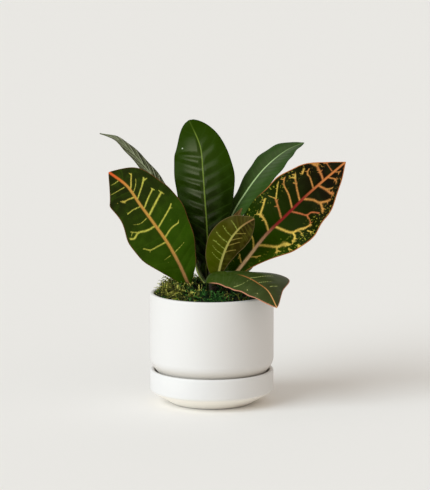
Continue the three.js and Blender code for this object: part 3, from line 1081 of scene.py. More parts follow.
@dataclass
class Leaf:
    """One leaf, stalk and blade, as rows of knots from its root on the stem to its tip, mm.

    A knot is (x, y, z, half width left, half width right). face is the way the upper face looks at
    root, middle and tip, blunt rounds the tip (1 is pointed, 2 is round), fold lifts both halves in
    degrees, curl lowers the margins again, and wave and waves are the height and number of the
    margin's waves. veins are the coloured side veins, and between them plain ones lie in folds at
    a spacing and a lean towards the tip (share of the length). quilt is how high the blade swells
    between two veins and puff how fast it does so. rib_half is the midrib's half width, which
    loses the share rib_taper of it towards the tip. branching is how many spurs a vein may have.
    """

    name: str
    knots: list[tuple[float, float, float, float, float]]
    face: list[tuple[float, float, float]]
    blunt: float
    fold: float
    curl: float
    wave: float
    waves: float
    finish: LeafFinish
    veins: list[Vein] = field(default_factory=list)
    spacing: float = 8.0
    lean: float = 0.05
    quilt: float = 0.5
    puff: float = 2.4
    rib_half: float = 1.5
    rib_taper: float = 0.55
    rows: int = 220
    columns: int = 92
    branching: tuple[int, ...] = (0, 1, 1, 2)
    seed: int = 1

    # The solid leaf's own sizes: radius of the round stalk and midrib at root and tip, half widths
    # up to which a leaf is a stalk and from which it is a blade with full waves, mm, and the share
    # of a wave by which the left margin runs ahead.
    RIB_ROOT: ClassVar[float] = 1.7
    RIB_TIP: ClassVar[float] = 0.6
    LEAST_HALF_WIDTH: ClassVar[float] = 0.5
    STALK_UP_TO: ClassVar[float] = 2.0
    BLADE_FROM: ClassVar[float] = 6.0
    FULL_WAVE_FROM: ClassVar[float] = 15.0
    WAVE_SHIFT: ClassVar[float] = 0.3
    # The finer blade: half its thickness, how much of it the margin loses, how much of the midrib
    # stands above it, the half width from which it swells fully, the height and half width of the
    # ridges under its veins, and what is always added to the coloured midrib's half width.
    SHEET_HALF: ClassVar[float] = 0.3
    MARGIN_LOSS: ClassVar[float] = 0.5
    RIB_ABOVE: ClassVar[float] = 0.35
    FULL_QUILT_FROM: ClassVar[float] = 14.0
    RIDGE: ClassVar[float] = 0.22
    RIDGE_HALF: ClassVar[float] = 0.7
    RIB_LEAST: ClassVar[float] = 0.1
    # The swelling varies by a share of itself: slow waves along the leaf, how far the two halves
    # are out of step (in waves), and the quick waves on top, radians over the length.
    UNEVEN: ClassVar[float] = 0.3
    UNEVEN_SLOW: ClassVar[float] = 4.3
    UNEVEN_SHIFT: ClassVar[float] = 0.27
    UNEVEN_QUICK: ClassVar[float] = 31.0
    # Where plain side veins start and end along the midrib, how near two may be (shares of the
    # spacing), where one bends and ends on its way out, its half width in mm, and the spread of
    # its lean and of the spacing.
    FIRST_VEIN: ClassVar[float] = 0.33
    LAST_VEIN: ClassVar[float] = 0.95
    LAST_END: ClassVar[float] = 0.985
    APART: ClassVar[float] = 0.55
    BEND: ClassVar[float] = 0.45
    REACH: ClassVar[float] = 0.92
    PLAIN_HALF: ClassVar[float] = 0.6
    LEAN_SPREAD: ClassVar[tuple[float, float]] = (0.8, 1.2)
    SPACING_SPREAD: ClassVar[tuple[float, float]] = (0.9, 1.1)
    # A spur grows on veins from this half width: its own seed, its place on the vein, its steps
    # along and out, its share of the vein's width and its flare.
    SPUR_FROM: ClassVar[float] = 0.45
    SPUR_SEED: ClassVar[int] = 100
    SPUR_PLACE: ClassVar[tuple[float, float]] = (0.55, 1.0)
    SPUR_ALONG: ClassVar[tuple[float, float]] = (0.006, 0.016)
    SPUR_OUT: ClassVar[tuple[float, float]] = (0.03, 0.09)
    SPUR_WIDTH: ClassVar[tuple[float, float]] = (0.45, 0.75)
    SPUR_FLARE: ClassVar[float] = -0.5
    # Steps of the curves, values far from any vein, and how far round a vein is searched, mm.
    SMALL_STEP: ClassVar[float] = 1e-3
    RUN_STEPS: ClassVar[int] = 801
    SPAN_STEPS: ClassVar[int] = 4
    FAR_EDGE: ClassVar[float] = -9.0
    FAR: ClassVar[float] = 99.0
    SEARCH: ClassVar[float] = 12.0
    OVERLAP: ClassVar[float] = 1.0

    @property
    def midrib(self) -> np.ndarray:
        """The midrib's knots."""
        return np.array([knot[:3] for knot in self.knots])

    def half_width(self, side: Side, at: np.ndarray) -> np.ndarray:
        """Half width of one side; raising it to blunt and back rounds the tip.

        Args:
            side: which half of the leaf.
            at: shares of the way along.

        Returns:
            The half widths, mm.
        """
        column = 3 if side is Side.LEFT else 4
        widths = np.array([knot[column] for knot in self.knots]) ** self.blunt
        raised = np.maximum(through(widths, at), self.LEAST_HALF_WIDTH ** self.blunt)
        return raised ** (1 / self.blunt)

    def width_at(self, at: np.ndarray, across: np.ndarray) -> np.ndarray:
        """Half width at places along, on the side that each place lies on."""
        return np.where(across < 0, self.half_width(Side.LEFT, at), self.half_width(Side.RIGHT, at))

    def frame_at(self, at: np.ndarray) -> tuple[np.ndarray, np.ndarray, np.ndarray]:
        """How the leaf lies in space at places along it.

        Args:
            at: shares of the way along.

        Returns:
            Points of the midrib, mm, and the upward and sideways directions there.
        """
        ahead = through(self.midrib, np.minimum(at + self.SMALL_STEP, 1))
        behind = through(self.midrib, np.maximum(at - self.SMALL_STEP, 0))
        along = unit(ahead - behind)
        up = through(self.face, at)
        up = unit(up - (up * along).sum(1)[:, None] * along)
        return through(self.midrib, at), up, np.cross(along, up)

    def flat_place(self, at: np.ndarray, across: np.ndarray) -> tuple[np.ndarray, np.ndarray]:
        """Places on the unrolled leaf.

        Args:
            at: shares of the way along.
            across: -1 at the left margin to 1 at the right.

        Returns:
            mm along the midrib and mm to the side.
        """
        fine = np.linspace(0, 1, self.RUN_STEPS)
        line = through(self.midrib, fine)
        run = np.concatenate([[0], np.cumsum(np.linalg.norm(np.diff(line, axis=0), axis=1))])
        return np.interp(at, fine, run), across * self.width_at(at, across)

    def plain_veins(self) -> list[Vein]:
        """Side veins at even spacing that show only as folds in the blade.

        Returns:
            The veins, none where a coloured one runs.
        """
        draw = random.Random(self.seed)
        run = self.flat_place(np.array([0.0, 1.0]), np.zeros(2))[0][1]
        pitch = self.spacing / run
        found = []
        for side in Side:
            taken = [vein.path[0][0] for vein in self.veins if vein.side is side]
            at = self.FIRST_VEIN + (0.5 * pitch if side is Side.LEFT else 0)
            while at < self.LAST_VEIN:
                if all(abs(at - other) > self.APART * pitch for other in taken):
                    lean = self.lean * draw.uniform(*self.LEAN_SPREAD)
                    bend = (at + self.BEND * lean, self.BEND)
                    end = (min(at + lean, self.LAST_END), self.REACH)
                    found.append(Vein(side, ((at, 0.0), bend, end), half_width=self.PLAIN_HALF))
                at += pitch * draw.uniform(*self.SPACING_SPREAD)
        return found

    def spurs(self) -> list[Vein]:
        """Short side branches on the outer part of the coloured veins.

        Returns:
            The branches.
        """
        draw = random.Random(self.seed + self.SPUR_SEED)
        found = []
        for vein in self.veins:
            if vein.half_width < self.SPUR_FROM:
                continue
            turn = draw.choice((-1, 1))
            for _ in range(draw.choice(self.branching)):
                at, out = through(vein.path, np.array([draw.uniform(*self.SPUR_PLACE)]))[0]
                end = (at + turn * draw.uniform(*self.SPUR_ALONG), out + draw.uniform(*self.SPUR_OUT))
                broad = draw.uniform(*self.SPUR_WIDTH) * vein.half_width
                found.append(Vein(vein.side, ((at, out), end), vein.redness, broad, self.SPUR_FLARE))
                turn = -turn
        return found

    def closeness(self, veins: list[Vein], along: np.ndarray, aside: np.ndarray
                  ) -> tuple[np.ndarray, np.ndarray, np.ndarray]:
        """How near each place of the unrolled leaf is to a vein.

        Args:
            veins: the side veins.
            along: mm along the midrib.
            aside: mm to the side.

        Returns:
            1 on a vein's centre line falling to 0 at its edge and below 0 outside, the redness of
            the nearest vein, and the distance in mm.
        """
        edge = np.full(len(along), self.FAR_EDGE)
        redness = np.zeros(len(along))
        distance = np.full(len(along), self.FAR)
        for vein in veins:
            share = np.linspace(0, 1, self.SPAN_STEPS * (len(vein.path) - 1) + 1)
            path = through(vein.path, share)
            px, py = self.flat_place(path[:, 0], path[:, 1] * vein.side.value)
            near = (along > px.min() - self.SEARCH) & (along < px.max() + self.SEARCH)
            near &= aside * vein.side.value > -self.OVERLAP
            x, y = along[near], aside[near]
            best = np.full(len(x), self.FAR)
            best_edge = np.full(len(x), self.FAR_EDGE)
            for k in range(len(share) - 1):
                dx, dy = px[k + 1] - px[k], py[k + 1] - py[k]
                part = np.clip(((x - px[k]) * dx + (y - py[k]) * dy) / (dx * dx + dy * dy + 1e-9), 0, 1)
                gap = np.hypot(x - px[k] - part * dx, y - py[k] - part * dy)
                taper = 1 + vein.flare * (share[k] + part * (share[k + 1] - share[k]))
                best_edge = np.maximum(best_edge, 1 - gap / (vein.half_width * taper))
                best = np.minimum(best, gap)
            closer = best_edge > edge[near]
            places = np.flatnonzero(near)
            redness[places[closer]] = vein.redness
            edge[places] = np.maximum(edge[places], best_edge)
            distance[places] = np.minimum(distance[places], best)
        return edge, redness, distance

    def build(self) -> bpy.types.Object:
        """Bends a closed sheet into the leaf, writes its vein attributes and dresses it.

        Returns:
            The leaf.
        """
        maker = bmesh.new()
        bmesh.ops.create_grid(maker, x_segments=self.rows, y_segments=self.columns, size=1.0)
        copy = bmesh.ops.extrude_face_region(maker, geom=maker.faces[:], use_keep_orig=True)
        raised = [item for item in copy["geom"] if isinstance(item, bmesh.types.BMVert)]
        bmesh.ops.translate(maker, verts=raised, vec=(0, 0, 1))
        bmesh.ops.recalc_face_normals(maker, faces=maker.faces[:])
        mesh = close_mesh(maker, self.name)
        flat = np.empty(len(mesh.vertices) * 3)
        mesh.vertices.foreach_get("co", flat)
        flat = flat.reshape(-1, 3)
        at = (flat[:, 0] + 1) / 2
        across = flat[:, 1]
        upper = flat[:, 2] > 0.5
        along, aside = self.flat_place(at, across)
        edge, redness, gap = self.closeness(self.veins + self.spurs(), along, aside)
        plain_edge, _, plain_gap = self.closeness(self.plain_veins(), along, aside)
        points = self.bend(at, across, upper, np.minimum(gap, plain_gap))
        mesh.vertices.foreach_set("co", (points * MM).ravel())
        inset = (1 - np.abs(across)) * self.width_at(at, across)
        rib = self.rib_half * (1 - self.rib_taper * at) + self.RIB_LEAST
        values = {
            "along": at, "out": np.abs(across), "side": across, "vein": edge, "redness": redness,
            "plain": plain_edge, "inset": inset, "rib": 1 - np.abs(aside) / rib,
            "under": (~upper).astype(float),
        }
        for name, numbers in values.items():
            mesh.attributes.new(name, "FLOAT", "POINT").data.foreach_set("value", numbers.astype(np.float32))
        self._sheet_map(mesh, along, aside)
        mesh.update()
        return finish_object(self.name + "_blade", mesh, self.finish.material(), [self.name])

    def bend(self, at: np.ndarray, across: np.ndarray, upper: np.ndarray, gap: np.ndarray) -> np.ndarray:
        """Places of the leaf's two faces in mm.

        Args:
            at: share of the way along.
            across: -1 at the left margin to 1 at the right.
            upper: whether a place is on the upper face.
            gap: distance to the nearest side vein, mm.

        Returns:
            One point for each place.
        """
        spine, up, sideways = self.frame_at(at)
        width = self.width_at(at, across)
        out = np.abs(across)
        reach = width * out
        fold = math.radians(self.fold)
        phase = self.waves * at + np.where(across < 0, self.WAVE_SHIFT, 0.0)
        wave = self.wave * np.minimum(1, width / self.FULL_WAVE_FROM)
        ripple = wave * np.sin(math.tau * phase) * out ** 2
        lift = reach * math.sin(fold) - self.curl * reach * out + ripple
        rib = self.RIB_ROOT + (self.RIB_TIP - self.RIB_ROOT) * at
        round_part = np.sqrt(np.maximum(0, rib ** 2 - reach ** 2))
        blade = np.clip((width - self.STALK_UP_TO) / (self.BLADE_FROM - self.STALK_UP_TO), 0, 1)
        thin = self.SHEET_HALF * (1 - self.MARGIN_LOSS * step(0.85, 1.0, out))
        below = np.maximum(thin, round_part)
        above = below + (np.maximum(thin, self.RIB_ABOVE * round_part) - below) * blade
        relief = self.pillows(at, across, gap) * blade * np.minimum(1, width / self.FULL_QUILT_FROM)
        ridge = self.RIDGE * np.exp(-(gap / self.RIDGE_HALF) ** 2) * blade * (1 - step(0.6, 0.95, out))
        offset = np.where(upper, above, -below - ridge) + relief
        side_move = np.sign(across) * reach * math.cos(fold)
        return spine + sideways * side_move[:, None] + up * (lift + offset)[:, None]

    def pillows(self, at: np.ndarray, across: np.ndarray, gap: np.ndarray) -> np.ndarray:
        """Swelling of the blade between its side veins, flat at its midrib, rim and tip.

        Args:
            at: shares of the way along.
            across: -1 at the left margin to 1 at the right.
            gap: distance to the nearest side vein, mm.

        Returns:
            The heights, mm.
        """
        out = np.abs(across)
        inside = step(0.0, 0.12, out) * (1 - step(0.5, 0.95, out)) * (1 - step(0.84, 0.94, at))
        slow = np.sin(math.tau * (self.UNEVEN_SLOW * at + self.UNEVEN_SHIFT * np.sign(across)))
        uneven = 1 - self.UNEVEN + self.UNEVEN * slow * np.cos(self.UNEVEN_QUICK * at)
        return self.quilt * uneven * (1 - np.exp(-(gap / self.puff) ** 2)) * inside

    def _sheet_map(self, mesh: bpy.types.Mesh, along: np.ndarray, aside: np.ndarray) -> None:
        """Writes the unrolled leaf as a UV map.

        Args:
            mesh: the leaf's mesh.
            along: mm along the midrib.
            aside: mm to the side.
        """
        corners = np.empty(len(mesh.loops), int)
        mesh.loops.foreach_get("vertex_index", corners)
        chart = np.stack([along[corners], aside[corners]], 1) / SHEET_UNIT
        mesh.uv_layers.new(name="sheet").data.foreach_set("uv", chart.ravel())


L, R = Side.LEFT, Side.RIGHT


def left_leaf() -> Leaf:
    """Broad leaf at the left: yellow side veins and a midrib that ends in orange.

    Returns:
        The leaf, ready to be built.
    """
    knots = [
        (0, 0, 106, 1.6, 1.6), (-14, -3, 110, 1.6, 1.6), (-23, -5, 121, 2.5, 2.5),
        (-33, -10, 144, 19.2, 20), (-45, -15, 167, 32.4, 30), (-59, -19, 188, 34.2, 36),
        (-73, -22, 208, 26.6, 33.5), (-86, -24, 227, 26.8, 23.6), (-104, -25, 241, 0.5, 0.5),
    ]
    finish = LeafFinish(
        "croton_leaf_yellow_veined", blade_root="2e4a00", blade_tip="1e2608", blade_right="2a4c00",
        right_share=0.4, vein="ccc854", vein_red="d88040", rib=("b48450", "c89444", "d8602c"),
        margin="6a4224", margin_mm=0.6, plain="3c560c", plain_share=0.3, net_colour="a8a848",
        flecks=0.12, rib_turns=(0.34, 0.5, 0.84, 0.98), right_until=0.55,
    )
    veins = [
        Vein(R, ((0.85, 0.04), (0.88, 0.31), (0.90, 0.62)), 0.3, 0.5),
        Vein(R, ((0.825, 0.05), (0.85, 0.30), (0.87, 0.48)), 0.1, 0.3),
        Vein(R, ((0.78, 0.03), (0.81, 0.27), (0.84, 0.58), (0.85, 0.70)), 0.0, 0.45, 0.2),
        Vein(R, ((0.84, 0.58), (0.84, 0.77)), 0.0, 0.4),
        Vein(R, ((0.72, 0.05), (0.75, 0.32), (0.78, 0.61)), 0.0, 0.55, 0.1),
        Vein(R, ((0.77, 0.63), (0.79, 0.60)), 0.0, 0.4),
        Vein(R, ((0.67, 0.0), (0.70, 0.34), (0.73, 0.72)), 0.05, 0.75, 0.0),
        Vein(R, ((0.715, 0.75), (0.75, 0.71)), 0.0, 0.4),
        Vein(R, ((0.59, 0.0), (0.62, 0.39), (0.64, 0.64), (0.65, 0.73)), 0.0, 0.6),
        Vein(R, ((0.53, 0.0), (0.55, 0.34), (0.55, 0.56), (0.55, 0.64)), 0.05, 0.6),
        Vein(R, ((0.44, 0.0), (0.45, 0.31), (0.46, 0.55)), 0.0, 0.4, -0.6),
        Vein(L, ((0.93, 0.10), (0.95, 0.75)), 0.0, 0.35),
        Vein(L, ((0.88, 0.12), (0.90, 0.52), (0.92, 0.94)), 0.1, 0.4),
        Vein(L, ((0.80, 0.05), (0.81, 0.32), (0.81, 0.48)), 0.3, 0.6),
        Vein(L, ((0.81, 0.44), (0.815, 0.50)), 0.3, 0.9),
        Vein(L, ((0.74, 0.05), (0.75, 0.38), (0.75, 0.63)), 0.0, 0.45),
        Vein(L, ((0.67, 0.10), (0.67, 0.37), (0.69, 0.62)), 0.0, 0.35),
        Vein(L, ((0.61, 0.0), (0.62, 0.31), (0.64, 0.57), (0.63, 0.77), (0.64, 0.88)), 0.0, 0.7, 0.0),
        Vein(L, ((0.64, 0.57), (0.67, 0.80)), 0.0, 0.5),
        Vein(L, ((0.51, 0.02), (0.52, 0.33), (0.53, 0.58), (0.56, 0.72)), 0.0, 0.6),
        Vein(L, ((0.44, 0.15), (0.44, 0.45)), 0.0, 0.3),
    ]
    return Leaf(
        "leaf_left", knots, face=[(0.25, -0.85, 0.35), (0.15, -0.9, 0.35), (0, -0.85, 0.45)], blunt=1.15,
        fold=8, curl=0.05, wave=1, waves=7, finish=finish, veins=veins, spacing=8.5, quilt=0.45,
        rib_half=1.45, rib_taper=0.3, seed=3,
    )


def far_left_leaf() -> Leaf:
    """Narrow grey green leaf that arches away behind the left one; its pale streaks are partly its veins and
    partly painted reflection.

    Returns:
        The leaf, ready to be built.
    """
    knots = [
        (0, 0, 121, 1.4, 1.4), (-10, 3, 129.5, 1.4, 1.4), (-21, 9, 158, 2, 2), (-36, 16, 187, 12, 9),
        (-50, 24, 214, 11, 10.5), (-65, 34, 234, 10, 11), (-83, 44, 253, 9, 9.6),
        (-99, 51, 266.3, 6.2, 5.8), (-116, 58, 270.6, 0.5, 0.5),
    ]
    # The pale vein and fold colours are partly veins and partly painted reflection of a leaf seen at a
    # grazing angle.
    finish = LeafFinish(
        "croton_leaf_grey_green", blade_root="2e3816", blade_tip="3c4426", blade_right="141c06",
        right_share=0.7, vein="b4b898", vein_red="b4b898", rib=("8c9a6c", "a0ac84", "5c6a44"),
        margin="3c3a20", margin_mm=0.7, plain="7c805c", plain_share=0.5, halo=0.2, roughness=0.34,
        specular=0.12, mottle=5.0,
    )
    # Pale streaks: partly veins, partly painted reflection.
    places = (0.36, 0.41, 0.46, 0.51, 0.56, 0.61, 0.67, 0.73, 0.79, 0.85)
    veins = [Vein(side, ((at, 0.05), (at + 0.05, 0.5), (at + 0.09, 0.9)), 0.0, 0.4)
             for side in Side for at in places]
    return Leaf(
        "leaf_far_left", knots, face=[(0.5, -0.45, 0.5), (0.45, -0.35, 0.8), (0.2, -0.2, 1)], blunt=1.2,
        fold=6, curl=0.05, wave=0.6, waves=7, finish=finish, veins=veins, spacing=4.6, lean=0.09,
        quilt=0.5, rib_half=0.95, rows=170, columns=48, seed=4,
    )


def centre_leaf() -> Leaf:
    """Tallest leaf: dark green, a pale midrib, its blade swollen between the side veins; its near-black root
    and lower right half are painted shade.

    Returns:
        The leaf, ready to be built.
    """
    knots = [
        (0, 0, 113, 1.6, 1.6), (-4, 6, 121, 3, 1.6), (-6, 10, 136, 10.5, 5), (-4, 12, 149, 14.2, 10),
        (-5, 17, 179, 19.4, 20.5), (-7, 23, 206, 28, 29.2), (-9, 30, 233, 31, 31.8),
        (-12, 38, 260, 28.2, 23.4), (-23.5, 45, 286.2, 0.5, 0.5),
    ]
    # blade_root and blade_right are painted shade: near black towards the root and on the lower right half,
    # where the leaves in front shade the blade.
    finish = LeafFinish(
        "croton_leaf_dark_green", blade_root="050a00", blade_tip="223602", blade_right="0a1600",
        right_share=0.45, vein="e8ecd0", vein_red="b4bc60", rib=("424e14", "607226", "66782c"),
        margin="1e2a0a", margin_mm=0.6, plain="2c4012", plain_share=0.35, halo=0.2, roughness=0.25,
        specular=0.03, sheen=0.25, sheen_right=0.4, right_until=0.6, rib_end=0.97,
    )
    veins = [
        Vein(L, ((0.893, 0.70), (0.897, 0.72)), 0.0, 0.55),
        Vein(L, ((0.31, 0.95), (0.26, 0.9), (0.2, 0.85), (0.15, 0.7)), 1.0, 1.1),
    ]
    return Leaf(
        "leaf_centre", knots, face=[(0, -0.9, 0.3), (-0.18, -0.93, 0.3), (-0.22, -0.95, 0.25)],
        blunt=1.9, fold=-2, curl=0.08, wave=0.8, waves=8, finish=finish, veins=veins, spacing=10.5,
        quilt=1.9, puff=3.7, rib_half=0.85, seed=5,
    )


def far_right_leaf() -> Leaf:
    """Green leaf at the back right.

    Returns:
        The leaf, ready to be built.
    """
    knots = [
        (0, 0, 126, 1.4, 1.4), (6, 10, 140, 1.4, 1.4), (11, 18, 160, 2, 2), (21, 26, 189, 8, 14),
        (35, 32, 212, 11.5, 24.5), (51, 43, 232, 16.8, 27.3), (66, 54, 245, 19.2, 22),
        (81, 64, 254, 14.5, 11.8), (96, 73, 259, 0.5, 0.5),
    ]
    finish = LeafFinish(
        "croton_leaf_mid_green", blade_root="283c0e", blade_tip="2a4016", blade_right="22400e",
        right_share=0.4, vein="8aa468", vein_red="8aa468", rib=("a4bc84", "a4bc80", "5e7444"),
        margin="2e461a", margin_mm=0.5, plain="34501c", plain_share=0.35, halo=0.2, roughness=0.34,
        specular=0.08, sheen=0.25,
    )
    return Leaf(
        "leaf_far_right", knots, face=[(-0.4, -0.6, 0.5), (-0.45, -0.5, 0.6), (-0.45, -0.5, 0.7)],
        blunt=1.2, fold=10, curl=0.05, wave=0.6, waves=7, finish=finish, spacing=7.0, quilt=0.4,
        rib_half=1.1, rows=180, columns=56, seed=6,
    )


def right_leaf() -> Leaf:
    """Largest leaf: warm veins, a red midrib and a speckled margin.

    Returns:
        The leaf, ready to be built.
    """
    knots = [
        (0, 0, 112, 1.8, 1.8), (10, 0, 115, 1.8, 1.8), (18, 0, 125, 3, 3), (36, -7, 149, 24, 11),
        (55, -15, 175, 33, 29), (75, -22, 196, 36, 39), (94, -29, 216, 34, 36),
        (113, -35, 234, 23.4, 25.6), (134.5, -40, 253.3, 0.5, 0.5),
    ]
    finish = LeafFinish(
        "croton_leaf_red_ribbed", blade_root="1c3200", blade_tip="0c0600", blade_right="344c00",
        right_share=0.7, vein="ccac4c", vein_red="a85c34", rib=("f0c490", "741a1a", "b46c38"),
        margin="b06a3a", margin_mm=0.8, plain="1c2604", plain_share=0.2, net=0.6, net_colour="a8a438",
        flecks=0.2, specular=0.025, rib_turns=(0.37, 0.58, 0.7, 0.9), right_until=0.42, margin_left=0.55,
    )
    veins = [
        Vein(L, ((0.93, 0.15), (0.93, 0.78), (0.93, 0.93)), 0.8, 0.5),
        Vein(L, ((0.87, 0.0), (0.88, 0.21), (0.89, 0.79)), 0.75, 0.75, 0.2),
        Vein(L, ((0.89, 0.76), (0.88, 0.95)), 0.65, 0.8, 0.2),
        Vein(L, ((0.89, 0.76), (0.90, 0.96)), 0.65, 0.8, 0.2),
        Vein(L, ((0.81, 0.0), (0.83, 0.40), (0.83, 0.58), (0.85, 0.72)), 0.65, 0.65),
        Vein(L, ((0.83, 0.80), (0.81, 0.67)), 0.4, 0.8),
        Vein(L, ((0.72, 0.0), (0.75, 0.40), (0.77, 0.68)), 0.65, 0.75, -0.2),
        Vein(L, ((0.77, 0.66), (0.76, 0.74)), 0.3, 0.6),
        Vein(L, ((0.77, 0.66), (0.78, 0.78)), 0.3, 0.6),
        Vein(L, ((0.67, 0.0), (0.70, 0.38), (0.71, 0.66), (0.73, 0.85)), 0.6, 0.75, -0.4),
        Vein(L, ((0.60, 0.0), (0.62, 0.27), (0.64, 0.58)), 0.75, 0.75, 0.0),
        Vein(L, ((0.64, 0.56), (0.67, 0.72), (0.70, 0.86)), 0.0, 0.6),
        Vein(L, ((0.64, 0.58), (0.62, 0.80)), 0.3, 0.4),
        Vein(L, ((0.52, 0.0), (0.54, 0.32), (0.54, 0.58)), 0.3, 0.8, 0.0),
        Vein(L, ((0.54, 0.56), (0.57, 0.66), (0.60, 0.79)), 0.0, 0.8),
        Vein(L, ((0.54, 0.58), (0.53, 0.65)), 0.0, 0.5),
        Vein(L, ((0.42, 0.0), (0.45, 0.22), (0.46, 0.39)), 0.0, 0.75),
        Vein(L, ((0.35, 0.14), (0.37, 0.43)), 0.0, 0.6),
        Vein(R, ((0.90, 0.03), (0.92, 0.39), (0.92, 0.62)), 0.7, 0.6),
        Vein(R, ((0.94, 0.1), (0.96, 0.5)), 0.7, 0.5),
        Vein(R, ((0.84, 0.0), (0.86, 0.33), (0.87, 0.62), (0.88, 0.77)), 0.75, 0.8, 0.1),
        Vein(R, ((0.86, 0.33), (0.89, 0.58)), 0.6, 0.65),
        Vein(R, ((0.74, 0.0), (0.78, 0.27), (0.80, 0.49), (0.85, 0.75)), 0.65, 0.9, -0.1),
        Vein(R, ((0.80, 0.49), (0.80, 0.62), (0.79, 0.77)), 0.6, 0.8, 0.2),
        Vein(R, ((0.66, 0.03), (0.69, 0.27), (0.71, 0.44), (0.74, 0.51), (0.77, 0.72)), 1.0, 0.7),
        Vein(R, ((0.71, 0.44), (0.71, 0.61), (0.70, 0.71)), 0.8, 0.65),
        Vein(R, ((0.56, 0.05), (0.59, 0.37), (0.61, 0.51), (0.64, 0.56), (0.67, 0.66)), 0.25, 0.95, -0.2),
        Vein(R, ((0.67, 0.66), (0.70, 0.71)), 0.4, 0.7),
        Vein(R, ((0.61, 0.51), (0.61, 0.64), (0.60, 0.70)), 0.0, 0.75, 0.2),
        Vein(R, ((0.64, 0.62), (0.64, 0.75)), 0.0, 0.45),
        Vein(R, ((0.67, 0.76), (0.68, 0.86)), 0.0, 0.5),
        Vein(R, ((0.45, 0.03), (0.48, 0.39), (0.51, 0.62), (0.54, 0.65), (0.56, 0.72)), 0.1, 0.95, 0.1),
        Vein(R, ((0.545, 0.66), (0.56, 0.71)), 0.0, 1.6),
        Vein(R, ((0.51, 0.60), (0.50, 0.71), (0.49, 0.83)), 0.0, 0.9),
        Vein(R, ((0.39, 0.03), (0.41, 0.40), (0.42, 0.48)), 0.0, 0.6),
        Vein(R, ((0.60, 0.94), (0.602, 0.95)), 0.0, 1.1),
        Vein(R, ((0.55, 0.88), (0.552, 0.89)), 0.0, 0.9),
        Vein(R, ((0.59, 0.72), (0.592, 0.74)), 0.0, 0.9),
    ]
    return Leaf(
        "leaf_right", knots, face=[(-0.15, -0.85, 0.35), (-0.2, -0.85, 0.4), (-0.25, -0.85, 0.45)],
        blunt=1, fold=10, curl=0.08, wave=1.5, waves=7, finish=finish, veins=veins, spacing=9.0,
        quilt=0.4, rib_half=1.8, rows=240, columns=100, branching=(2, 3, 4), seed=7,
    )


def young_leaf() -> Leaf:
    """Small olive leaf in front.

    Returns:
        The leaf, ready to be built.
    """
    knots = [
        (0, 0, 121, 1.3, 1.3), (4, -6, 123, 1.3, 1.3), (7, -9, 129, 3, 2), (8, -14, 140, 13.5, 5),
        (12, -22, 156, 20.5, 11), (18, -29, 171, 22, 17), (27, -35, 184, 17, 21), (35, -39, 191, 9, 20),
        (43, -42, 196, 0.5, 0.5),
    ]
    finish = LeafFinish(
        "croton_leaf_olive_bronze", blade_root="3c4600", blade_tip="302800", blade_right="201800",
        right_share=0.85, vein="8c9440", vein_red="7c6c30", rib=("a09a52", "948c46", "7c5c36"),
        margin="5a4a2c", margin_mm=0.6, plain="4e4c14", plain_share=0.3, halo=0.25, specular=0.05,
    )
    veins = [
        Vein(L, ((0.74, 0.0), (0.75, 0.4), (0.75, 0.72)), 0.0, 0.45),
        Vein(L, ((0.67, 0.0), (0.67, 0.4), (0.68, 0.74)), 0.0, 0.45),
        Vein(L, ((0.61, 0.0), (0.61, 0.4), (0.62, 0.76)), 0.0, 0.45),
        Vein(L, ((0.55, 0.0), (0.56, 0.4), (0.57, 0.74)), 0.0, 0.45),
        Vein(L, ((0.50, 0.0), (0.51, 0.4), (0.53, 0.68)), 0.0, 0.4),
        Vein(L, ((0.45, 0.0), (0.46, 0.3), (0.48, 0.6)), 0.0, 0.4),
        Vein(R, ((0.70, 0.0), (0.76, 0.3), (0.83, 0.5)), 1.0, 0.4),
        Vein(R, ((0.63, 0.0), (0.69, 0.3), (0.75, 0.55)), 1.0, 0.4),
        Vein(R, ((0.58, 0.0), (0.64, 0.35), (0.70, 0.6)), 1.0, 0.4),
        Vein(R, ((0.52, 0.0), (0.57, 0.4), (0.62, 0.74)), 1.0, 0.4),
    ]
    return Leaf(
        "leaf_young", knots, face=[(-0.1, -0.9, 0.3), (-0.2, -0.85, 0.4), (-0.35, -0.8, 0.5)], blunt=1.8,
        fold=12, curl=0.05, wave=0.4, waves=7, finish=finish, veins=veins, spacing=4.6, quilt=0.35,
        rib_half=1.4, rows=150, columns=70, seed=8,
    )


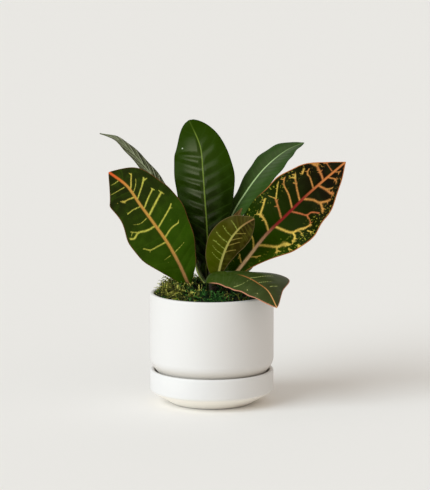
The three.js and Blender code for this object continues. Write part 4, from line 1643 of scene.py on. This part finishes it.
def low_front_leaf() -> Leaf:
    """Leaf that arches forward over the pot's rim.

    Returns:
        The leaf, ready to be built.
    """
    knots = [
        (0, 0, 109, 1.5, 1.5), (-4, -11, 118, 1.5, 1.5), (-3, -19, 134, 4.5, 11), (10, -27, 138, 7, 16),
        (24, -33, 138, 11, 20), (36, -42, 136, 24, 20.5), (47, -53, 131.5, 40, 18.5),
        (57, -66, 125.4, 17.5, 16), (65, -80, 112, 0.5, 0.5),
    ]
    finish = LeafFinish(
        "croton_leaf_red_edged", blade_root="2c4006", blade_tip="343a1c", blade_right="2c3a10",
        right_share=0.4, vein="a2a860", vein_red="c8b078", rib=("34420e", "a06a38", "d4985a"),
        margin="b87a5e", margin_mm=0.8, plain="404e24", plain_share=0.3, net=0.12, net_colour="a8a070",
        halo=0.2, specular=0.14, rib_turns=(0.5, 0.62, 0.78, 0.92),
    )
    veins = [
        Vein(R, ((0.60, 0.85), (0.62, 0.77), (0.65, 0.59), (0.66, 0.40)), 0.0, 0.44),
        Vein(R, ((0.66, 0.30), (0.67, 0.05)), 0.0, 0.25),
        Vein(L, ((0.65, 0.03), (0.68, 0.22), (0.70, 0.43), (0.72, 0.60)), 0.0, 0.44),
        Vein(L, ((0.74, 0.02), (0.76, 0.17), (0.78, 0.38)), 0.0, 0.44),
        Vein(L, ((0.83, 0.22), (0.84, 0.60)), 0.0, 0.44),
        Vein(R, ((0.745, 0.75), (0.75, 0.78)), 0.5, 0.44),
        Vein(R, ((0.85, 0.64), (0.855, 0.67)), 0.5, 0.44),
    ]
    return Leaf(
        "leaf_low_front", knots, face=[(-0.3, -0.3, 0.9), (-0.18, -0.3, 0.94), (0.1, -0.3, 0.85)],
        blunt=1.2, fold=4, curl=0.3, wave=0.5, waves=6, finish=finish, veins=veins, spacing=8.0,
        lean=0.04, quilt=0.35, rib_half=0.9, rows=160, columns=84, seed=9,
    )


def back_leaf() -> Leaf:
    """Dark leaf that arches away behind all others.

    Returns:
        The leaf, ready to be built.
    """
    knots = [
        (0, 0, 110, 1.4, 1.4), (3, 8, 116, 1.4, 1.4), (7, 18, 127, 3, 3), (14, 32, 139, 15, 17),
        (20, 50, 146, 21, 21), (25, 67, 146, 23, 21), (29, 83, 140, 20, 19), (32, 97, 130, 13, 14.5),
        (34, 108, 116, 0.5, 0.5),
    ]
    finish = LeafFinish(
        "croton_leaf_dark_back", blade_root="28400a", blade_tip="20300a", blade_right="28420a",
        right_share=0.3, vein="a8983c", vein_red="b07c48", rib=("9a8a5a", "a8863e", "b87a3e"),
        margin="5a3c24", margin_mm=0.8, plain="3c5214", plain_share=0.25, net=0.3, flecks=0.2,
    )
    veins = [
        Vein(L, ((0.50, 0.0), (0.52, 0.4), (0.55, 0.75)), 0.1, 0.8),
        Vein(L, ((0.62, 0.0), (0.65, 0.4), (0.68, 0.8)), 0.0, 0.8),
        Vein(L, ((0.75, 0.0), (0.78, 0.4), (0.81, 0.7)), 0.2, 0.7),
        Vein(R, ((0.46, 0.0), (0.48, 0.4), (0.52, 0.7)), 0.0, 0.7),
        Vein(R, ((0.57, 0.0), (0.60, 0.4), (0.63, 0.8)), 0.1, 0.9),
        Vein(R, ((0.69, 0.0), (0.72, 0.4), (0.75, 0.72)), 0.0, 0.8),
        Vein(R, ((0.80, 0.0), (0.83, 0.5)), 0.3, 0.7),
    ]
    return Leaf(
        "leaf_back", knots, face=[(0, -0.5, 0.8), (0, 0, 1), (0, 0.5, 0.8)], blunt=1.8, fold=4,
        curl=0.25, wave=0.8, waves=7, finish=finish, veins=veins, spacing=8.0, quilt=0.4, rib_half=1.7,
        rows=160, columns=72, seed=10,
    )


def shoot_tip() -> Leaf:
    """Young rolled leaf at the top of the stem.

    Returns:
        The leaf, ready to be built.
    """
    knots = [
        (0, 0, 137, 1.5, 1.5), (4, -1, 149, 2.5, 2.5), (13, -3, 168, 5, 5), (23, -5, 187, 5.5, 5.5),
        (31, -7, 202, 0.5, 0.5),
    ]
    finish = LeafFinish(
        "croton_shoot_brown_pink", blade_root="3c3c10", blade_tip="5c4420", blade_right="3c2e14",
        right_share=0.4, vein="7a5c34", vein_red="7a5c34", rib=("4a4c1c", "4a3c1c", "6a4c28"),
        margin="6a4a28", margin_mm=0.3, plain="3a3014", plain_share=0.4,
    )
    return Leaf(
        "shoot_tip", knots, face=[(-0.3, -0.9, 0.3), (-0.3, -0.9, 0.3), (-0.3, -0.9, 0.3)], blunt=1.2,
        fold=35, curl=0, wave=0, waves=0, finish=finish, spacing=5.0, quilt=0.0, rib_half=0.7, rows=90,
        columns=20, seed=12,
    )


LEAVES: tuple[Callable[[], Leaf], ...] = (
    left_leaf, far_left_leaf, centre_leaf, far_right_leaf, right_leaf, young_leaf, low_front_leaf,
    back_leaf, shoot_tip,
)


@dataclass
class Stem:
    """Short woody stem: tapering, ringed where leaves have dropped, mm.

    Its scars rise a little every scar_pitch, and over the last top_rise its radius falls to the
    share top_share.
    """

    foot: float = 60.0
    top: float = 140.0
    foot_radius: float = 4.4
    top_radius: float = 3.1
    rings: int = 90
    sides: int = 40
    scar_pitch: float = 6.5
    scar_rise: float = 0.15
    scar_sharpness: int = 8
    top_share: float = 0.6
    top_rise: float = 2.0

    def build(self) -> bpy.types.Object:
        """Extrudes a ring upwards step by step and closes both ends.

        Returns:
            The stem.
        """
        maker = bmesh.new()
        foot = self.foot_radius * MM
        start = bmesh.ops.create_circle(maker, cap_ends=True, segments=self.sides, radius=foot)
        ring = start["verts"]
        bmesh.ops.translate(maker, verts=ring, vec=(0, 0, self.foot * MM))
        edges = list({edge for vert in ring for edge in vert.link_edges})
        rise = (self.top - self.foot) / self.rings
        before = self.radius(self.foot)
        for k in range(1, self.rings + 1):
            ring, edges = extrude_ring(maker, edges)
            radius = self.radius(self.foot + rise * k)
            bmesh.ops.translate(maker, verts=ring, vec=(0, 0, rise * MM))
            bmesh.ops.scale(maker, verts=ring, vec=(radius / before, radius / before, 1))
            before = radius
        bmesh.ops.contextual_create(maker, geom=edges)
        bmesh.ops.recalc_face_normals(maker, faces=maker.faces[:])
        mesh = close_mesh(maker, "stem")
        finish = Fibre("croton_young_bark", dark="241c10", light="3c3020", patch=4.0, roughness=0.7)
        return finish_object("stem_bark", mesh, finish.material(), ["stem"])

    def radius(self, height: float) -> float:
        """Radius of the stem: the taper, a low swelling at each leaf scar, and a rounded top.

        Args:
            height: the height, mm.

        Returns:
            The radius, mm.
        """
        share = (height - self.foot) / (self.top - self.foot)
        taper = self.foot_radius + (self.top_radius - self.foot_radius) * share
        scar = math.cos(math.tau * height / self.scar_pitch) ** self.scar_sharpness
        end = min(1.0, (self.top - height) / self.top_rise + self.top_share)
        return (taper - self.scar_rise * (1 - scar)) * end


# ---- stage ------------------------------------------------------------------------------------


@dataclass
class Stage:
    """Plain pale floor, soft studio light and the camera, metres and degrees (the lens in mm)."""

    floor_radius: float = 14.0
    floor_sides: int = 96
    floor_drop: float = 0.0005
    floor_colour: str = "f2eee9"
    floor_roughness: float = 0.8
    floor_specular: float = 0.2
    sun_elevation: float = 28.0
    sun_azimuth: float = 218.0
    sun_strength: float = 2.65
    sun_spread: float = 48.0
    ambient: float = 0.65
    ambient_colour: tuple[float, float, float] = (0.95, 0.91, 0.86)
    sun_colour: tuple[float, float, float] = (0.79, 0.91, 1.0)
    camera_place: tuple[float, float, float] = (0.0033, -2.9344, 0.6237)
    camera_tilt: float = 81.073
    lens: float = 213.4
    sensor: float = 36.0
    sight: float = 60.0

    def build(self) -> None:
        """Lays the floor, lights it and places the camera."""
        maker = bmesh.new()
        bmesh.ops.create_circle(maker, cap_ends=True, segments=self.floor_sides, radius=self.floor_radius)
        bmesh.ops.translate(maker, verts=maker.verts[:], vec=(0, 0, -self.floor_drop))
        mesh = close_mesh(maker, "floor")
        material, _, shader = blank_material("pale_matt_floor")
        shader.inputs["Base Color"].default_value = linear(self.floor_colour)
        shader.inputs["Roughness"].default_value = self.floor_roughness
        shader.inputs["Specular IOR Level"].default_value = self.floor_specular
        mesh.materials.append(material)
        floor = into_scene("floor", mesh)
        self._lights()
        camera_data = bpy.data.cameras.new("camera")
        camera_data.lens = self.lens
        camera_data.sensor_width = self.sensor
        camera_data.clip_end = self.sight
        camera = into_scene("camera", camera_data)
        camera.location = self.camera_place
        camera.rotation_euler = (math.radians(self.camera_tilt), 0, 0)
        bpy.context.scene.camera = camera
        bpy.context.scene.view_settings.view_transform = "Standard"

    def _lights(self) -> None:
        """A broad soft light from the front left and an even, slightly warm surround."""
        sun_data = bpy.data.lights.new("soft_key", "SUN")
        sun_data.energy = self.sun_strength
        sun_data.angle = math.radians(self.sun_spread)
        sun_data.color = self.sun_colour
        sun = into_scene("soft_key", sun_data)
        around, up = math.radians(self.sun_azimuth), math.radians(self.sun_elevation)
        towards = Vector((math.cos(around) * math.cos(up), math.sin(around) * math.cos(up), math.sin(up)))
        sun.rotation_euler = towards.to_track_quat("Z", "Y").to_euler()
        world = bpy.data.worlds.new("even_surround")
        world.use_nodes = True
        surround = world.node_tree.nodes["Background"]
        surround.inputs["Color"].default_value = (*self.ambient_colour, 1.0)
        surround.inputs["Strength"].default_value = self.ambient
        bpy.context.scene.world = world


def dress_soil() -> None:
    """Gives the soil, which the moss hides, a dark crumbly finish in its own slots."""
    finish = Fibre("potting_soil", dark="17110c", light="34281c", patch=3.0, roughness=0.95).material()
    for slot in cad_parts["soil"].material_slots:
        slot.material = finish
    LOG.info("soil: kept, new finish")


def main() -> None:
    """Builds the stage, the holder, the filling and the plant in order, and notes their size."""
    logging.basicConfig(level=logging.INFO, format="%(name)s %(message)s")
    Stage().build()
    Holder().build()
    dress_soil()
    MossBed().build()
    Stem().build()
    for leaf in LEAVES:
        leaf().build()
    bpy.context.view_layer.update()


if __name__ == "__main__":
    main()
